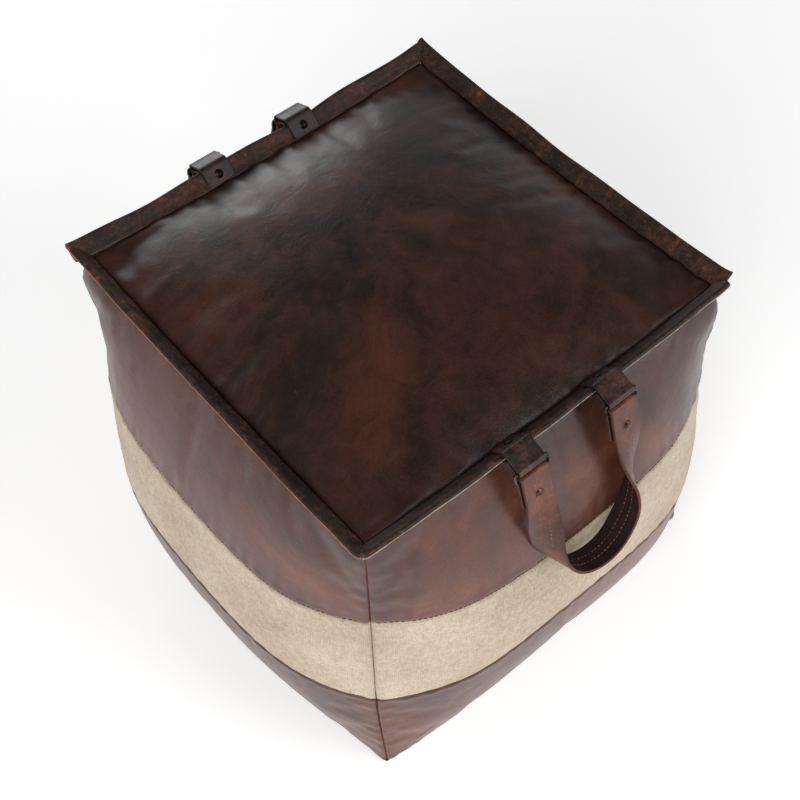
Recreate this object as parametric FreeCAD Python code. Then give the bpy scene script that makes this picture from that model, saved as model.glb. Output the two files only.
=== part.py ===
"""Square leather floor pouf with a canvas band, a bound top seam and two hanging strap handles.

Row frame: +Z up, origin on the floor under the middle of the base, X along the two handle
sides, Y through them. Lengths are in millimetres and angles in degrees.
"""
import FreeCAD, Part

import math
import os

from FreeCAD import Vector

# ---- Stuffed body ----
SEAM_HALF = 202.0       # half the width at the root of that seam
WAIST_HALF = 211.0      # corner half width half way up
BASE_HALF = 218.0       # corner half width at the floor
SEAM_Z = 396.0          # height of the seam's root
CROWN = 39.0            # how far the stuffed top stands above the seam's root
BULGE = 52.0            # how far each side swells past the line of its corners
BASE_BULGE = 9.0        # how much of that swelling is left at the floor
BULGE_FLATNESS = 3.8    # power that keeps the swelling full towards the corners
BULGE_FULLNESS = 0.75   # power that keeps it full towards the floor and the seam
CROWN_FULLNESS = 0.6    # power that keeps the top full towards its edges
BAND_LOW = 132.0        # canvas band's lower seam at the corners
BAND_HIGH = 281.0       # canvas band's upper seam at the corners
BAND_LOW_RISE = 24.0    # how much the lower seam lifts in the middle of a side
BAND_HIGH_DROP = 10.0   # how much the upper seam drops there
SKIN = 2.0              # leather and canvas thickness
SEAM_GAP = 0.2          # parting between neighbouring panels
LINER_INSET = 3.4       # outer face of the inner bag, in from the outside of the cover
LINER_SKIN = 0.9        # inner bag's cloth
FILL_INSET = 5.2        # outside of the stuffing, in from the outside of the cover
SHOULDER_DEPTH = 50.0   # how far the stuffed crown reaches down into the stuffed sides
BAG_LOW = 25.0          # lowest and highest of the stuffed shape's even outlines
BAG_HIGH = 375.0

# ---- Bound top seam ----
SEAM_TILT = 45.0        # lean of the upstanding seam, outwards from level
SEAM_WIDTH = 17.4       # root to raw edge of the leather inside the binding
ALLOWANCE = 1.5         # each leather layer turned up into the seam
BINDING = 1.2           # leather strip folded over the seam
BINDING_ROOT = 3.0      # strip's raw edges, along the seam from its root
CROWN_INSET = 2.4       # edge of the crowned top, in from the seam's root
TOP_TURN = 3.0          # start of the top's turned-up allowance, in from the root
PLY_GAP = 0.1           # air between the sewn layers

# ---- Handles ----
TAB_X = 51.5            # centre of each tab from the middle of the side
STRAP_WIDTH = 30.0      # tabs and strap
TAB_PLY = 2.2           # leather of a tab
TAB_START = 1.0         # tab's upper end, along the seam from its root
TAB_END = 5.5           # tab's lower end
TAB_PAST = 1.0          # tab's bend beyond the binding's edge
TAB_OVER = 14.5         # where its upper leather meets the bar's fold, from straight up
TAB_UNDER = 20.5        # where its lower leather leaves the fold, from straight down
BAR_Y = 232.0           # tab fold's bar, out from the middle
BAR_Z = 404.0           # tab fold's bar, above the floor
RIVET_ALONG = 10.0      # tab rivet's distance along the seam from its root
WIRE = 1.5              # radius of the ring's wire
RING_DROP = 10.0        # between the centres of the ring's two long bars
RING_SPAN = 36.0        # between the centres of its two short sides
WIRE_BEND = 2.6         # centre-line radius of the ring's corners
FOLD_GAP = 0.3          # running clearance of a leather fold on its bar
STRAP_PLY = 1.5         # one layer of the doubled strap
STRAP_DROP = 146.0      # lower bar to the bottom of the hanging strap
LOOP_DEPTH = 62.0       # height of the strap's rounded bottom
TWIST_START = 22.0      # drop at which each leg begins its quarter turn
TWIST_SPAN = 112.0      # drop over which it turns
TAIL = 35.0             # turned-back end of the strap behind its face
STRAP_RIVET_DROP = 20.0 # strap rivet below the lower bar
LEAN = 17.0             # hanging handle's lean outwards over the swollen side
HEAD_RADIUS = 4.6       # rivet heads
HEAD_HEIGHT = 2.0       # their rise over the leather
HEAD_FLAT = 86.0        # latitude on the dome where its hammered flat begins
SHANK_RADIUS = 1.6      # holes for the rivets
RIVET_PLAY = 0.05       # between a rivet and its hole
HOLE_DEPTH = 40.0       # punch travel, through everything that is sewn together

# ---- Zip in the base ----
ZIP_HALF = 150.0        # half the length of the chain
ZIP_SLOT = 7.0          # half the parting between the two base panels
ZIP_ROOM = 2.6          # space over the base leather for the zip, under the inner bag
BASE_SKIN = 2.6         # base leather
SLOT_END = 8.0          # slot beyond each end of the chain
TAPE_END = 15.0         # tape beyond each end of the chain
TAPE_WIDTH = 17.0       # one tape
TAPE = 0.6              # its thickness
TAPE_Z = 3.1            # underside of the tape
COIL_IN = 0.7           # inner side of each coil, from the middle
COIL_OUT = 2.9          # its outer side
COIL_LOW = 2.4          # its underside
COIL_HIGH = 4.4         # its top
STOP_LENGTH = 3.0       # clip at each end of the chain
PARKED = 1.0            # closed slider's distance from the end of the chain
SLIDER_LENGTH = 11.0
SLIDER_HALF = 4.7       # half the slider's width
SLIDER_LOW = 0.9        # underside of its lower plate
SLIDER_HIGH = 4.7       # underside of its upper plate
PLATE = 0.8             # slider plates
LIP = 1.2               # width of the lips that run beside the coils
LIP_UP = 0.8            # height of the lips on the lower plate
LIP_DOWN = 0.6          # height of the lips under the upper plate
NECK_GAP = 0.3          # between the slider's neck and each coil
NECK_LENGTH = 3.0
NECK_SET = 1.0          # neck's start from the slider's end
PULL_LENGTH = 22.0
PULL_HALF = 2.8         # half the pull's width
PULL = 0.8              # its thickness
PIN_OUT = 2.0           # pull's pin beyond the slider's end
PIN_Z = 1.2             # its height
PIN_RADIUS = 0.45
PIN_PLAY = 0.08
EYE_RADIUS = 1.0        # eye of the pull
EAR = 1.0               # thickness of the two ears that hold the pin
EAR_GAP = 0.4           # between the pull and each ear
EAR_LOW = 0.7           # underside of the ears
EAR_HEIGHT = 1.2
EAR_ROOT = 0.4          # depth of the ears in the slider's plates
EAR_PAST = 1.0          # ears beyond the pin's centre
WINDOW_LENGTH = 7.0     # opening in the pull
WINDOW_HALF = 1.0       # half its width
WINDOW_END = 2.5        # its distance from the pull's end

STATIONS = 9            # sections from corner to corner of a side
LEVELS = 5              # points up the face of a panel
BAG_OUTLINES = 11       # even outlines up the stuffed shape
CROWN_POINTS = 13       # points along and across the top
STRAP_SECTIONS = 31     # sections from end to end of the strap
TILT = math.radians(SEAM_TILT)
SIDES = {"front": 0.0, "right": 90.0, "back": 180.0, "left": 270.0}
HANDLE_SIDES = ("front", "back")
UP = Vector(0, 0, 1)
ORIGIN = Vector(0, 0, 0)
SIDEWAYS = Vector(1, 0, 0)


def spread(low, high, count):
    """Evenly spaced values from low to high, both included."""
    return [low + (high - low) * i / (count - 1) for i in range(count)]


def corner_half(z):
    """Half width of the body at its corners: a parabola through base, waist and seam."""
    t = z / SEAM_Z
    return (BASE_HALF * (1 - t) * (1 - 2 * t) + 4 * WAIST_HALF * t * (1 - t)
            + SEAM_HALF * t * (2 * t - 1))


def swelling(z, u):
    """How far a side stands out past its corners at height z, u running -1 to 1 across it."""
    t = min(max(z / SEAM_Z, 0.0), 1.0)
    belly = BULGE * max(1 - (2 * t - 1) ** 2, 0.0) ** BULGE_FULLNESS
    belly += BASE_BULGE * (1 - t) ** 2
    return belly * (1 - abs(u) ** BULGE_FLATNESS)


def front_point(u, z, inset):
    """Point of the front side, inset below the outer face."""
    half = corner_half(z) - inset
    return Vector(u * half, -(half + swelling(z, u)), z)


def seam_point(u, along, normal):
    """Point of the front's upstanding seam: along it from its root, and above its middle."""
    out = SEAM_HALF + along * math.cos(TILT) - normal * math.sin(TILT)
    return Vector(u * out, -out, SEAM_Z + along * math.sin(TILT) + normal * math.cos(TILT))


def curve(points):
    """Smooth edge through the points."""
    spline = Part.BSplineCurve()
    spline.interpolate(points)
    return spline.toShape()


def line(start, end):
    """Straight edge."""
    return Part.LineSegment(start, end).toShape()


def polygon(points):
    """Closed wire of straight edges."""
    return Part.makePolygon(points + [points[0]])


def fuse(shapes):
    """One solid from overlapping or touching ones."""
    joined = shapes[0].multiFuse(shapes[1:]) if len(shapes) > 1 else shapes[0]
    return joined.removeSplitter()


def turned(shape, centre, axis, angle):
    """Copy of the shape turned about an axis."""
    copy = shape.copy()
    copy.rotate(centre, axis, angle)
    return copy


def write(node, shapes):
    """Writes one node, which may hold several separate solids."""
    shape = shapes[0] if len(shapes) == 1 else Part.makeCompound(shapes)
    shape.exportStep("parts/" + node + ".step")
    solids = len(shape.Solids)
    print(f"{node:24s} {solids} solid(s) {shape.Volume / 1000:9.2f} cm3 valid {shape.isValid()}")


# ---- Cover ----

def side_panel(low, high):
    """Curved panel of the front side between two seams, each a height as a function of u."""
    sections = []
    for u in spread(-1, 1, STATIONS):
        levels = spread(low(u), high(u), LEVELS)
        outer = [front_point(u, z, 0) for z in levels]
        inner = [front_point(u, z, SKIN) for z in reversed(levels)]
        edges = [curve(outer), line(outer[-1], inner[0]), curve(inner), line(inner[-1], outer[0])]
        sections.append(Part.Wire(edges))
    return Part.makeLoft(sections, True, False)


def band_low(u):
    """Height of the canvas band's lower seam."""
    return BAND_LOW + BAND_LOW_RISE * (1 - u * u)


def band_high(u):
    """Height of the canvas band's upper seam."""
    return BAND_HIGH - BAND_HIGH_DROP * (1 - u * u)


def upper_panel():
    """Upper leather of the front side, with the allowance turned up into the bound seam."""
    skin = side_panel(lambda u: band_high(u) + SEAM_GAP, lambda u: SEAM_Z - SKIN)
    ply = seam_ply(-SKIN * math.sqrt(2), -ALLOWANCE - PLY_GAP, -PLY_GAP)
    return fuse([skin, ply])


def band_panel():
    """Canvas band of the front side."""
    return side_panel(lambda u: band_low(u) + SEAM_GAP, lambda u: band_high(u) - SEAM_GAP)


def lower_panel():
    """Lower leather of the front side, down to the base seam."""
    return side_panel(lambda u: BASE_SKIN + SEAM_GAP, lambda u: band_low(u) - SEAM_GAP)


def across(profile):
    """Straight strip along the front side with that profile, mitred at both corners."""
    left, right = [[seam_point(u, a, n) for a, n in profile] for u in (-1, 1)]
    faces = [Part.Face(polygon(left)), Part.Face(polygon(right))]
    for i in range(len(profile)):
        faces.append(Part.Face(polygon([left[i - 1], left[i], right[i], right[i - 1]])))
    shell = Part.makeShell(faces)
    shell.sewShape()
    solid = Part.makeSolid(shell)
    return solid if solid.Volume > 0 else solid.reversed()


def seam_ply(start, low, high):
    """One leather layer turned up into the front's seam, from start along it."""
    return across([(start, low), (SEAM_WIDTH, low), (SEAM_WIDTH, high), (start, high)])


def binding():
    """Strip folded over the front's seam: a U open at the root."""
    inner = ALLOWANCE + 2 * PLY_GAP
    outer = inner + BINDING
    edge = SEAM_WIDTH + PLY_GAP
    return across([(BINDING_ROOT, -outer), (edge + BINDING, -outer), (edge + BINDING, outer),
                   (BINDING_ROOT, outer), (BINDING_ROOT, inner), (edge, inner), (edge, -inner),
                   (BINDING_ROOT, -inner)])


def crown_height(u, v, rise):
    """Height of the stuffed top over its seam, full across the middle."""
    return SEAM_Z + rise * max((1 - u * u) * (1 - v * v), 0.0) ** CROWN_FULLNESS


def crown_face(half, rise, drop):
    """Curved face of the top, with a straight edge on each side."""
    rows = []
    steps = spread(-1, 1, CROWN_POINTS)
    for v in steps:
        rows.append([Vector(u * half, v * half, crown_height(u, v, rise) - drop) for u in steps])
    surface = Part.BSplineSurface()
    surface.interpolate(rows)
    return surface.toShape()


def top_panel():
    """Crowned top leather, with its allowance turned up all round."""
    skin = crown_face(SEAM_HALF - CROWN_INSET, CROWN, 0).extrude(UP * -SKIN)
    ply = seam_ply(-TOP_TURN, PLY_GAP, ALLOWANCE + PLY_GAP)
    plies = []
    for side, angle in SIDES.items():
        sewn = pierced(ply, tab_rivet_places()) if side in HANDLE_SIDES else ply
        plies.append(turned(sewn, ORIGIN, UP, angle))
    return fuse([skin] + plies)


def bag(inset):
    """Closed stuffed shape of the body, inset below the cover: swollen sides under a crown."""
    shoulder = SEAM_Z - inset - SKIN
    levels = [ZIP_ROOM + inset] + spread(BAG_LOW, BAG_HIGH, BAG_OUTLINES) + [shoulder]
    sides = Part.makeLoft([level_outline(z, inset) for z in levels], True, False)
    half = corner_half(shoulder) - inset
    cap = crown_face(half, CROWN, inset).extrude(UP * -SHOULDER_DEPTH)
    return fuse([sides, cap])


def level_outline(z, inset):
    """Level outline of the stuffed shape: four swollen sides meeting at sharp corners."""
    edge = curve([front_point(u, z, inset) for u in spread(-1, 1, STATIONS)])
    return Part.Wire([turned(edge, ORIGIN, UP, a) for a in SIDES.values()])


def inner_bag():
    """Cloth bag that holds the stuffing."""
    return bag(LINER_INSET).cut(bag(LINER_INSET + LINER_SKIN))


# ---- Base and zip ----

def base_panel():
    """Front half of the base, with half of the zip's slot cut into its straight edge."""
    whole = Part.Face(level_outline(0, 0)).extrude(UP * BASE_SKIN)
    reach = BASE_HALF + BULGE
    front = Part.makeBox(2 * reach, reach, BASE_SKIN, Vector(-reach, -reach - SEAM_GAP, 0))
    slot_half = ZIP_HALF + SLOT_END
    slot = Part.makeBox(2 * slot_half, ZIP_SLOT, BASE_SKIN, Vector(-slot_half, -ZIP_SLOT, 0))
    return whole.common(front).cut(slot)


def zip_tape():
    """Front tape, sewn behind the slot's edge and carrying the front coil."""
    half = ZIP_HALF + TAPE_END
    return Part.makeBox(2 * half, TAPE_WIDTH, TAPE, Vector(-half, -COIL_OUT - TAPE_WIDTH, TAPE_Z))


def zip_coil():
    """Front coil of the chain, standing clear of the slider's neck."""
    return Part.makeBox(2 * ZIP_HALF, COIL_OUT - COIL_IN, COIL_HIGH - COIL_LOW,
                        Vector(-ZIP_HALF, -COIL_OUT, COIL_LOW))


def zip_stop(x):
    """Metal clip that ends the chain."""
    start = Vector(x, -COIL_OUT, COIL_LOW)
    return Part.makeBox(STOP_LENGTH, 2 * COIL_OUT, COIL_HIGH - COIL_LOW, start)


def zip_slider(x):
    """Slider: two lipped plates joined by the neck between the coils, with a pin for the pull."""
    neck_half = COIL_IN - NECK_GAP
    neck_start = Vector(x + NECK_SET, -neck_half, SLIDER_LOW)
    end = x + SLIDER_LENGTH
    pin_half = PULL_HALF + EAR_GAP + EAR
    pin_start = Vector(end + PIN_OUT, -pin_half, PIN_Z)
    parts = [
        Part.makeBox(NECK_LENGTH, 2 * neck_half, SLIDER_HIGH + PLATE - SLIDER_LOW, neck_start),
        Part.makeCylinder(PIN_RADIUS, 2 * pin_half, pin_start, Vector(0, 1, 0)),
    ]
    for low in (SLIDER_LOW, SLIDER_HIGH):
        parts.append(Part.makeBox(SLIDER_LENGTH, 2 * SLIDER_HALF, PLATE, Vector(x, -SLIDER_HALF, low)))
    for edge in (-SLIDER_HALF, SLIDER_HALF - LIP):
        lower = Vector(x, edge, SLIDER_LOW + PLATE)
        upper = Vector(x, edge, SLIDER_HIGH - LIP_DOWN)
        parts.append(Part.makeBox(SLIDER_LENGTH, LIP, LIP_UP, lower))
        parts.append(Part.makeBox(SLIDER_LENGTH, LIP, LIP_DOWN, upper))
    for edge in (-pin_half, PULL_HALF + EAR_GAP):
        ear_start = Vector(end - EAR_ROOT, edge, EAR_LOW)
        parts.append(Part.makeBox(EAR_ROOT + PIN_OUT + EAR_PAST, EAR, EAR_HEIGHT, ear_start))
    return fuse(parts)


def zip_pull(x):
    """Flat pull with an eye that turns on the slider's pin."""
    pin = Vector(x + SLIDER_LENGTH + PIN_OUT, -PULL_HALF, PIN_Z)
    eye = Part.makeCylinder(EYE_RADIUS, 2 * PULL_HALF, pin, Vector(0, 1, 0))
    underside = pin.z - EYE_RADIUS
    tongue = Part.makeBox(PULL_LENGTH, 2 * PULL_HALF, PULL, Vector(pin.x, -PULL_HALF, underside))
    hole = Part.makeCylinder(PIN_RADIUS + PIN_PLAY, 2 * PULL_HALF, pin, Vector(0, 1, 0))
    window_start = Vector(pin.x + PULL_LENGTH - WINDOW_END - WINDOW_LENGTH, -WINDOW_HALF, underside)
    window = Part.makeBox(WINDOW_LENGTH, 2 * WINDOW_HALF, PULL, window_start)
    return eye.fuse(tongue).cut(hole).cut(window).removeSplitter()


# ---- Handles, built on the front side ----

def plate(start, end, thickness, width, x):
    """Flat leather strip between two points of the YZ plane, centred on x."""
    run = end - start
    across_run = Vector(0, -run.z, run.y).normalize() * (thickness / 2)
    corners = [start + across_run, end + across_run, end - across_run, start - across_run]
    placed = [c + SIDEWAYS * (x - width / 2) for c in corners]
    return Part.Face(polygon(placed)).extrude(SIDEWAYS * width)


def elbow(point, thickness, width, x):
    """Round bend between two strips."""
    return Part.makeCylinder(thickness / 2, width, point + SIDEWAYS * (x - width / 2), SIDEWAYS)


def fold(centre, thickness, width, x):
    """Leather wrapped right round a bar, with running clearance."""
    start = centre + SIDEWAYS * (x - width / 2)
    inner = WIRE + FOLD_GAP
    room = Part.makeCylinder(inner, width, start, SIDEWAYS)
    return Part.makeCylinder(inner + thickness, width, start, SIDEWAYS).cut(room)


def bar_centre():
    """Centre of the tab fold's bar on the front side."""
    return Vector(0, -BAR_Y, BAR_Z)


def tab(x):
    """Tab: over the seam, round the ring's bar and back under the seam."""
    binding_top = ALLOWANCE + 2 * PLY_GAP + BINDING
    mid = binding_top + PLY_GAP + TAB_PLY / 2
    edge = SEAM_WIDTH + BINDING + TAB_PAST
    over = [seam_point(0, TAB_START, mid), seam_point(0, edge, mid)]
    under = [seam_point(0, edge, -mid), seam_point(0, TAB_END, -mid)]
    around = WIRE + FOLD_GAP + TAB_PLY / 2
    up = math.radians(TAB_OVER)
    down = math.radians(TAB_UNDER)
    top = bar_centre() + Vector(0, math.sin(up), math.cos(up)) * around
    foot = bar_centre() + Vector(0, math.sin(down), -math.cos(down)) * around
    runs = [(over[0], over[1]), (over[1], top), (foot, under[0]), (under[0], under[1])]
    parts = [plate(a, b, TAB_PLY, STRAP_WIDTH, x) for a, b in runs]
    parts += [elbow(p, TAB_PLY, STRAP_WIDTH, x) for p in (over[1], under[0])]
    parts.append(fold(bar_centre(), TAB_PLY, STRAP_WIDTH, x))
    return pierced(fuse(parts), [tab_rivet_place(x)])


def pierced(shape, places):
    """The shape with a straight hole for each rivet."""
    holes = []
    for centre, outward in places:
        start = centre - outward * (HOLE_DEPTH / 2)
        holes.append(Part.makeCylinder(SHANK_RADIUS, HOLE_DEPTH, start, outward))
    return shape.cut(holes)


def tab_rivet_place(x):
    """Centre and direction of the rivet through a tab and the seam."""
    outward = Vector(0, math.sin(TILT), math.cos(TILT))
    return seam_point(0, RIVET_ALONG, 0) + SIDEWAYS * x, outward


def tab_rivet_places():
    """Both rivets of the front handle's tabs."""
    return [tab_rivet_place(x) for x in (-TAB_X, TAB_X)]


def rivet(place, half_grip):
    """Rivet with a low domed head on each face of the leather it holds."""
    centre, outward = place
    ball = (HEAD_RADIUS ** 2 + HEAD_HEIGHT ** 2) / (2 * HEAD_HEIGHT)
    rise = ball - HEAD_HEIGHT
    latitude = math.degrees(math.asin(rise / ball))
    sunk = HEAD_HEIGHT / 2
    length = 2 * (half_grip + sunk)
    start = centre - outward * (length / 2)
    parts = [Part.makeCylinder(SHANK_RADIUS - RIVET_PLAY, length, start, outward)]
    for face in (outward, -outward):
        base = centre + face * (half_grip - rise)
        parts.append(Part.makeSphere(ball, base, face, latitude, HEAD_FLAT, 360))
    return fuse(parts)


def ring(x):
    """Rectangular wire ring with rounded corners, hanging from the tab's bar."""
    half = RING_SPAN / 2
    top = BAR_Z
    low = BAR_Z - RING_DROP
    b = WIRE_BEND
    k = b * (1 - math.sqrt(0.5))

    def at(dx, z):
        return Vector(x + dx, -BAR_Y, z)

    edges = [
        line(at(-half + b, top), at(half - b, top)),
        Part.Arc(at(half - b, top), at(half - k, top - k), at(half, top - b)).toShape(),
        line(at(half, top - b), at(half, low + b)),
        Part.Arc(at(half, low + b), at(half - k, low + k), at(half - b, low)).toShape(),
        line(at(half - b, low), at(-half + b, low)),
        Part.Arc(at(-half + b, low), at(-half + k, low + k), at(-half, low + b)).toShape(),
        line(at(-half, low + b), at(-half, top - b)),
        Part.Arc(at(-half, top - b), at(-half + k, top - k), at(-half + b, top)).toShape(),
    ]
    section = Part.Wire(Part.makeCircle(WIRE, at(-half + b, top), SIDEWAYS))
    return hung(Part.Wire(edges).makePipeShell([section], True, False))


def hung(shape):
    """The shape swung outwards about the tab's bar to the handle's resting lean."""
    return turned(shape, bar_centre(), SIDEWAYS, -LEAN)


def strap_section(q):
    """Rectangle across the strap at q, which runs -1 to 1 from one end to the other.

    The legs are straight and the bottom is half an ellipse. The strap turns a quarter turn
    down each leg, so that at the bottom its edge points away from the body.
    """
    straight = STRAP_DROP - LOOP_DEPTH
    top_gap = WIRE + FOLD_GAP
    arc = math.pi / 2 * (TAB_X + LOOP_DEPTH) / 2
    run = abs(q) * (straight + arc)
    side = 1 if q > 0 else -1
    if run > arc:
        angle = math.pi / 2
        drop = straight - (run - arc)
    else:
        angle = run / arc * math.pi / 2
        drop = straight + LOOP_DEPTH * math.cos(angle)
    x = side * TAB_X * math.sin(angle)
    tangent = Vector(TAB_X * math.cos(angle), 0, side * LOOP_DEPTH * math.sin(angle)).normalize()
    inward = Vector(-tangent.z, 0, tangent.x)
    share = min(max((drop - TWIST_START) / TWIST_SPAN, 0.0), 1.0)
    twist = math.pi / 2 * share * share * (3 - 2 * share)
    outward = Vector(0, -1, 0)
    face = outward * math.cos(twist) - inward * math.sin(twist)
    width = outward * math.sin(twist) + inward * math.cos(twist)
    centre = Vector(x, -BAR_Y - (top_gap + STRAP_PLY) * (1 - share), BAR_Z - RING_DROP - drop)
    half_width = width * (STRAP_WIDTH / 2)
    half_ply = face * STRAP_PLY
    return polygon([centre - half_width - half_ply, centre + half_width - half_ply,
                    centre + half_width + half_ply, centre - half_width + half_ply])


def strap():
    """Doubled strap: twisted U, with each end turned over its ring and down behind."""
    sections = [strap_section(q) for q in spread(-1, 1, STRAP_SECTIONS)]
    body = Part.makeLoft(sections, True, False)
    bar = bar_centre() - UP * RING_DROP
    back = bar + Vector(0, WIRE + FOLD_GAP + STRAP_PLY, 0)
    parts = [body]
    for x in (-TAB_X, TAB_X):
        parts.append(fold(bar, 2 * STRAP_PLY, STRAP_WIDTH, x))
        parts.append(plate(back, back - UP * TAIL, 2 * STRAP_PLY, STRAP_WIDTH, x))
    return hung(pierced(fuse(parts), [strap_rivet_place(x) for x in (-TAB_X, TAB_X)]))


def strap_rivet_place(x):
    """Centre and direction of the rivet that closes a strap end, before the handle leans."""
    return Vector(x, -BAR_Y, BAR_Z - RING_DROP - STRAP_RIVET_DROP), Vector(0, -1, 0)


def strap_rivets():
    """Both rivets of the front handle."""
    half_grip = WIRE + FOLD_GAP + 2 * STRAP_PLY + PLY_GAP
    return [hung(rivet(strap_rivet_place(x), half_grip)) for x in (-TAB_X, TAB_X)]


def make_cover():
    """Leather and canvas panels, binding, inner bag and stuffing."""
    holes = tab_rivet_places()
    write("top_panel", [top_panel()])
    for side, angle in SIDES.items():
        upper = pierced(upper_panel(), holes) if side in HANDLE_SIDES else upper_panel()
        write("upper_panel_" + side, [turned(upper, ORIGIN, UP, angle)])
        write("canvas_band_" + side, [turned(band_panel(), ORIGIN, UP, angle)])
        write("lower_panel_" + side, [turned(lower_panel(), ORIGIN, UP, angle)])
    strip = {}
    for side, angle in SIDES.items():
        folded = pierced(binding(), holes) if side in HANDLE_SIDES else binding()
        strip[side] = turned(folded, ORIGIN, UP, angle)
    write("binding_front_left", [fuse([strip["front"], strip["left"]])])
    write("binding_back", [strip["back"]])
    write("binding_right", [strip["right"]])
    write("inner_bag", [inner_bag()])
    write("stuffing", [bag(FILL_INSET)])


def make_base():
    """Base panels and zip."""
    write("base_panel_front", [base_panel()])
    write("base_panel_back", [turned(base_panel(), ORIGIN, UP, 180)])
    write("zip_tapes", [zip_tape(), turned(zip_tape(), ORIGIN, UP, 180)])
    write("zip_chain", [zip_coil(), turned(zip_coil(), ORIGIN, UP, 180)])
    write("zip_stops", [zip_stop(-ZIP_HALF - STOP_LENGTH), zip_stop(ZIP_HALF)])
    parked = -ZIP_HALF + PARKED
    write("zip_slider", [zip_slider(parked)])
    write("zip_pull", [zip_pull(parked)])


def make_handle(side, angle):
    """Tabs, rings, strap and rivets of one handle."""
    places = (-TAB_X, TAB_X)
    tab_grip = ALLOWANCE + 3 * PLY_GAP + BINDING + TAB_PLY
    for name, x in zip(("left", "right"), places):
        write(f"tab_{side}_{name}", [turned(tab(x), ORIGIN, UP, angle)])
    tab_rivets = [rivet(place, tab_grip) for place in tab_rivet_places()]
    write("tab_rivets_" + side, [turned(r, ORIGIN, UP, angle) for r in tab_rivets])
    write("rings_" + side, [turned(ring(x), ORIGIN, UP, angle) for x in places])
    write("strap_" + side, [turned(strap(), ORIGIN, UP, angle)])
    write("strap_rivets_" + side, [turned(r, ORIGIN, UP, angle) for r in strap_rivets()])


def main():
    """Builds every node."""
    os.makedirs("parts", exist_ok=True)
    make_cover()
    make_base()
    for side in HANDLE_SIDES:
        make_handle(side, SIDES[side])


main()
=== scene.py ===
"""Looks of the square leather floor pouf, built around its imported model.

Lengths are in millimetres until a mesh is made. Each side is drawn as the front side, which
faces -Y, and then turned about the upright axis to its own place.
"""
import math

import bmesh
import bpy
import numpy as np
from mathutils import Matrix, Vector


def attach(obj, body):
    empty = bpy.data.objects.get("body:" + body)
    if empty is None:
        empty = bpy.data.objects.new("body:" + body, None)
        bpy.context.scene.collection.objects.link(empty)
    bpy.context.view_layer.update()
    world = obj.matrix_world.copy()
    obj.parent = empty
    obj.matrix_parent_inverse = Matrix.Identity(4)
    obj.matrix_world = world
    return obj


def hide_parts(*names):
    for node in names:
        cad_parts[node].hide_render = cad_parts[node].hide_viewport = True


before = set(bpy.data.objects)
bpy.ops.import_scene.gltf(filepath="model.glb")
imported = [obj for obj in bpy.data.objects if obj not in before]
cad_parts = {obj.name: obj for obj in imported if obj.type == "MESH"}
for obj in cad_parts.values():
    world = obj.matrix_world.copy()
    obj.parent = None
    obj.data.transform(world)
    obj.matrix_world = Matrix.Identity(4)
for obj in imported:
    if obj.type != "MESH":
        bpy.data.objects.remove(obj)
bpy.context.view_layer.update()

MM = 0.001
RNG = np.random.default_rng(1807)
SIDES = {"front": 0, "right": 1, "back": 2, "left": 3}    # quarter turns from the front

# Cover
SEAM_HALF = 202.0          # half the width at the root of the top seam
WAIST_HALF = 211.0         # corner half width half way up
BASE_HALF = 218.0          # corner half width at the floor
ROOT_CORNER = 402.5        # height of the top seam's root at the corners
ROOT_SAG = 7.0             # how far it hangs down in the middle of a side
ROOT_FLAT = 2.2            # power that shapes the sag
ROOT_MIDDLE = 396.0        # height of the root where the tabs are sewn
CROWN_Z = 434.0            # highest point of the stuffed top
CROWN_POWER = 0.6
BULGE = 51.0               # how far each side swells past its corners
BASE_BULGE = 9.0
BULGE_FLATNESS = 3.8
BAND_LOW = 132.0           # canvas band's lower seam at the corners
BAND_HIGH = 281.0
BAND_LOW_RISE = 24.0
BAND_HIGH_DROP = 10.0
SKIN = 1.8                 # leather and canvas thickness
ACROSS = 46                # cells of the simulated cloth along a side
LEVELS = (15, 14, 13)      # its cells up the lower, canvas and upper panels
UP_CELLS = sum(LEVELS)
SMOOTHINGS = 60            # passes that part broad moves of the cloth from its wrinkles
FRAMES = 20                # length of the cloth simulation

# Bound top seam
TILT = math.radians(45.0)
RIM = 16.2                 # root to the centre of the folded edge
FOLD = 2.9                 # half the thickness of the bound seam
BINDING = 1.2              # leather of the binding
BINDING_ROOT = 0.8         # where the binding's legs start above the root
PLY = 1.4                  # each leather layer inside the binding
STITCH = 4.4               # length of one stitch of the binding and straps

# Tabs, rings, straps
TAB_X = 51.5               # centre of each tab from the middle of the side
STRAP_WIDTH = 30.0         # tabs and strap
TAB_PLY = 2.2              # leather of a tab
TAB_STEPS = 60
BAR_Y = 232.0              # tab fold's bar, out from the middle
BAR_Z = 404.0              # and above the floor
WIRE = 1.5                 # radius of the ring's wire
RING_DROP = 10.0           # between the ring's two long bars
FOLD_GAP = 0.3             # leather fold's clearance on its bar
STRAP_PLY = 1.5            # one layer of the doubled strap
STRAP_DROP = 146.0         # lower bar to the bottom of the strap
STRAP_STEPS = 121
LOOP_DEPTH = 62.0          # height of its rounded bottom
TAIL = 35.0                # turned-back end of the strap
TWIST_START = 22.0         # drop at which each leg begins its quarter turn
TWIST_SPAN = 112.0         # drop over which it turns
LEAN = math.radians(17.0)  # hanging handle's lean outwards

# Zip
ZIP_HALF = 150.0           # half the length of the chain
ZIP_SLOT = 7.0             # half the parting between the base panels
SLOT_END = 8.0             # slot beyond each end of the chain
TAPE_END = 15.0            # tape beyond each end of the chain
TAPE_WIDTH = 17.0
TAPE = 0.6                 # its thickness
TAPE_Z = 3.1               # its underside
COIL_IN = 0.7              # inner side of each coil, from the middle
COIL_OUT = 2.9             # its outer side
COIL_MIDDLE = 3.4          # height of the coils' middle
COIL_RISE = 0.74           # half the height of a turn of the coil
COIL_WIRE = 0.24           # radius of the nylon wire
COIL_TURNS = 200
TAPE_ROWS = (2.2, 5.0)     # stitch rows beyond the slot's edge


# ---- Numbers ----

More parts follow.
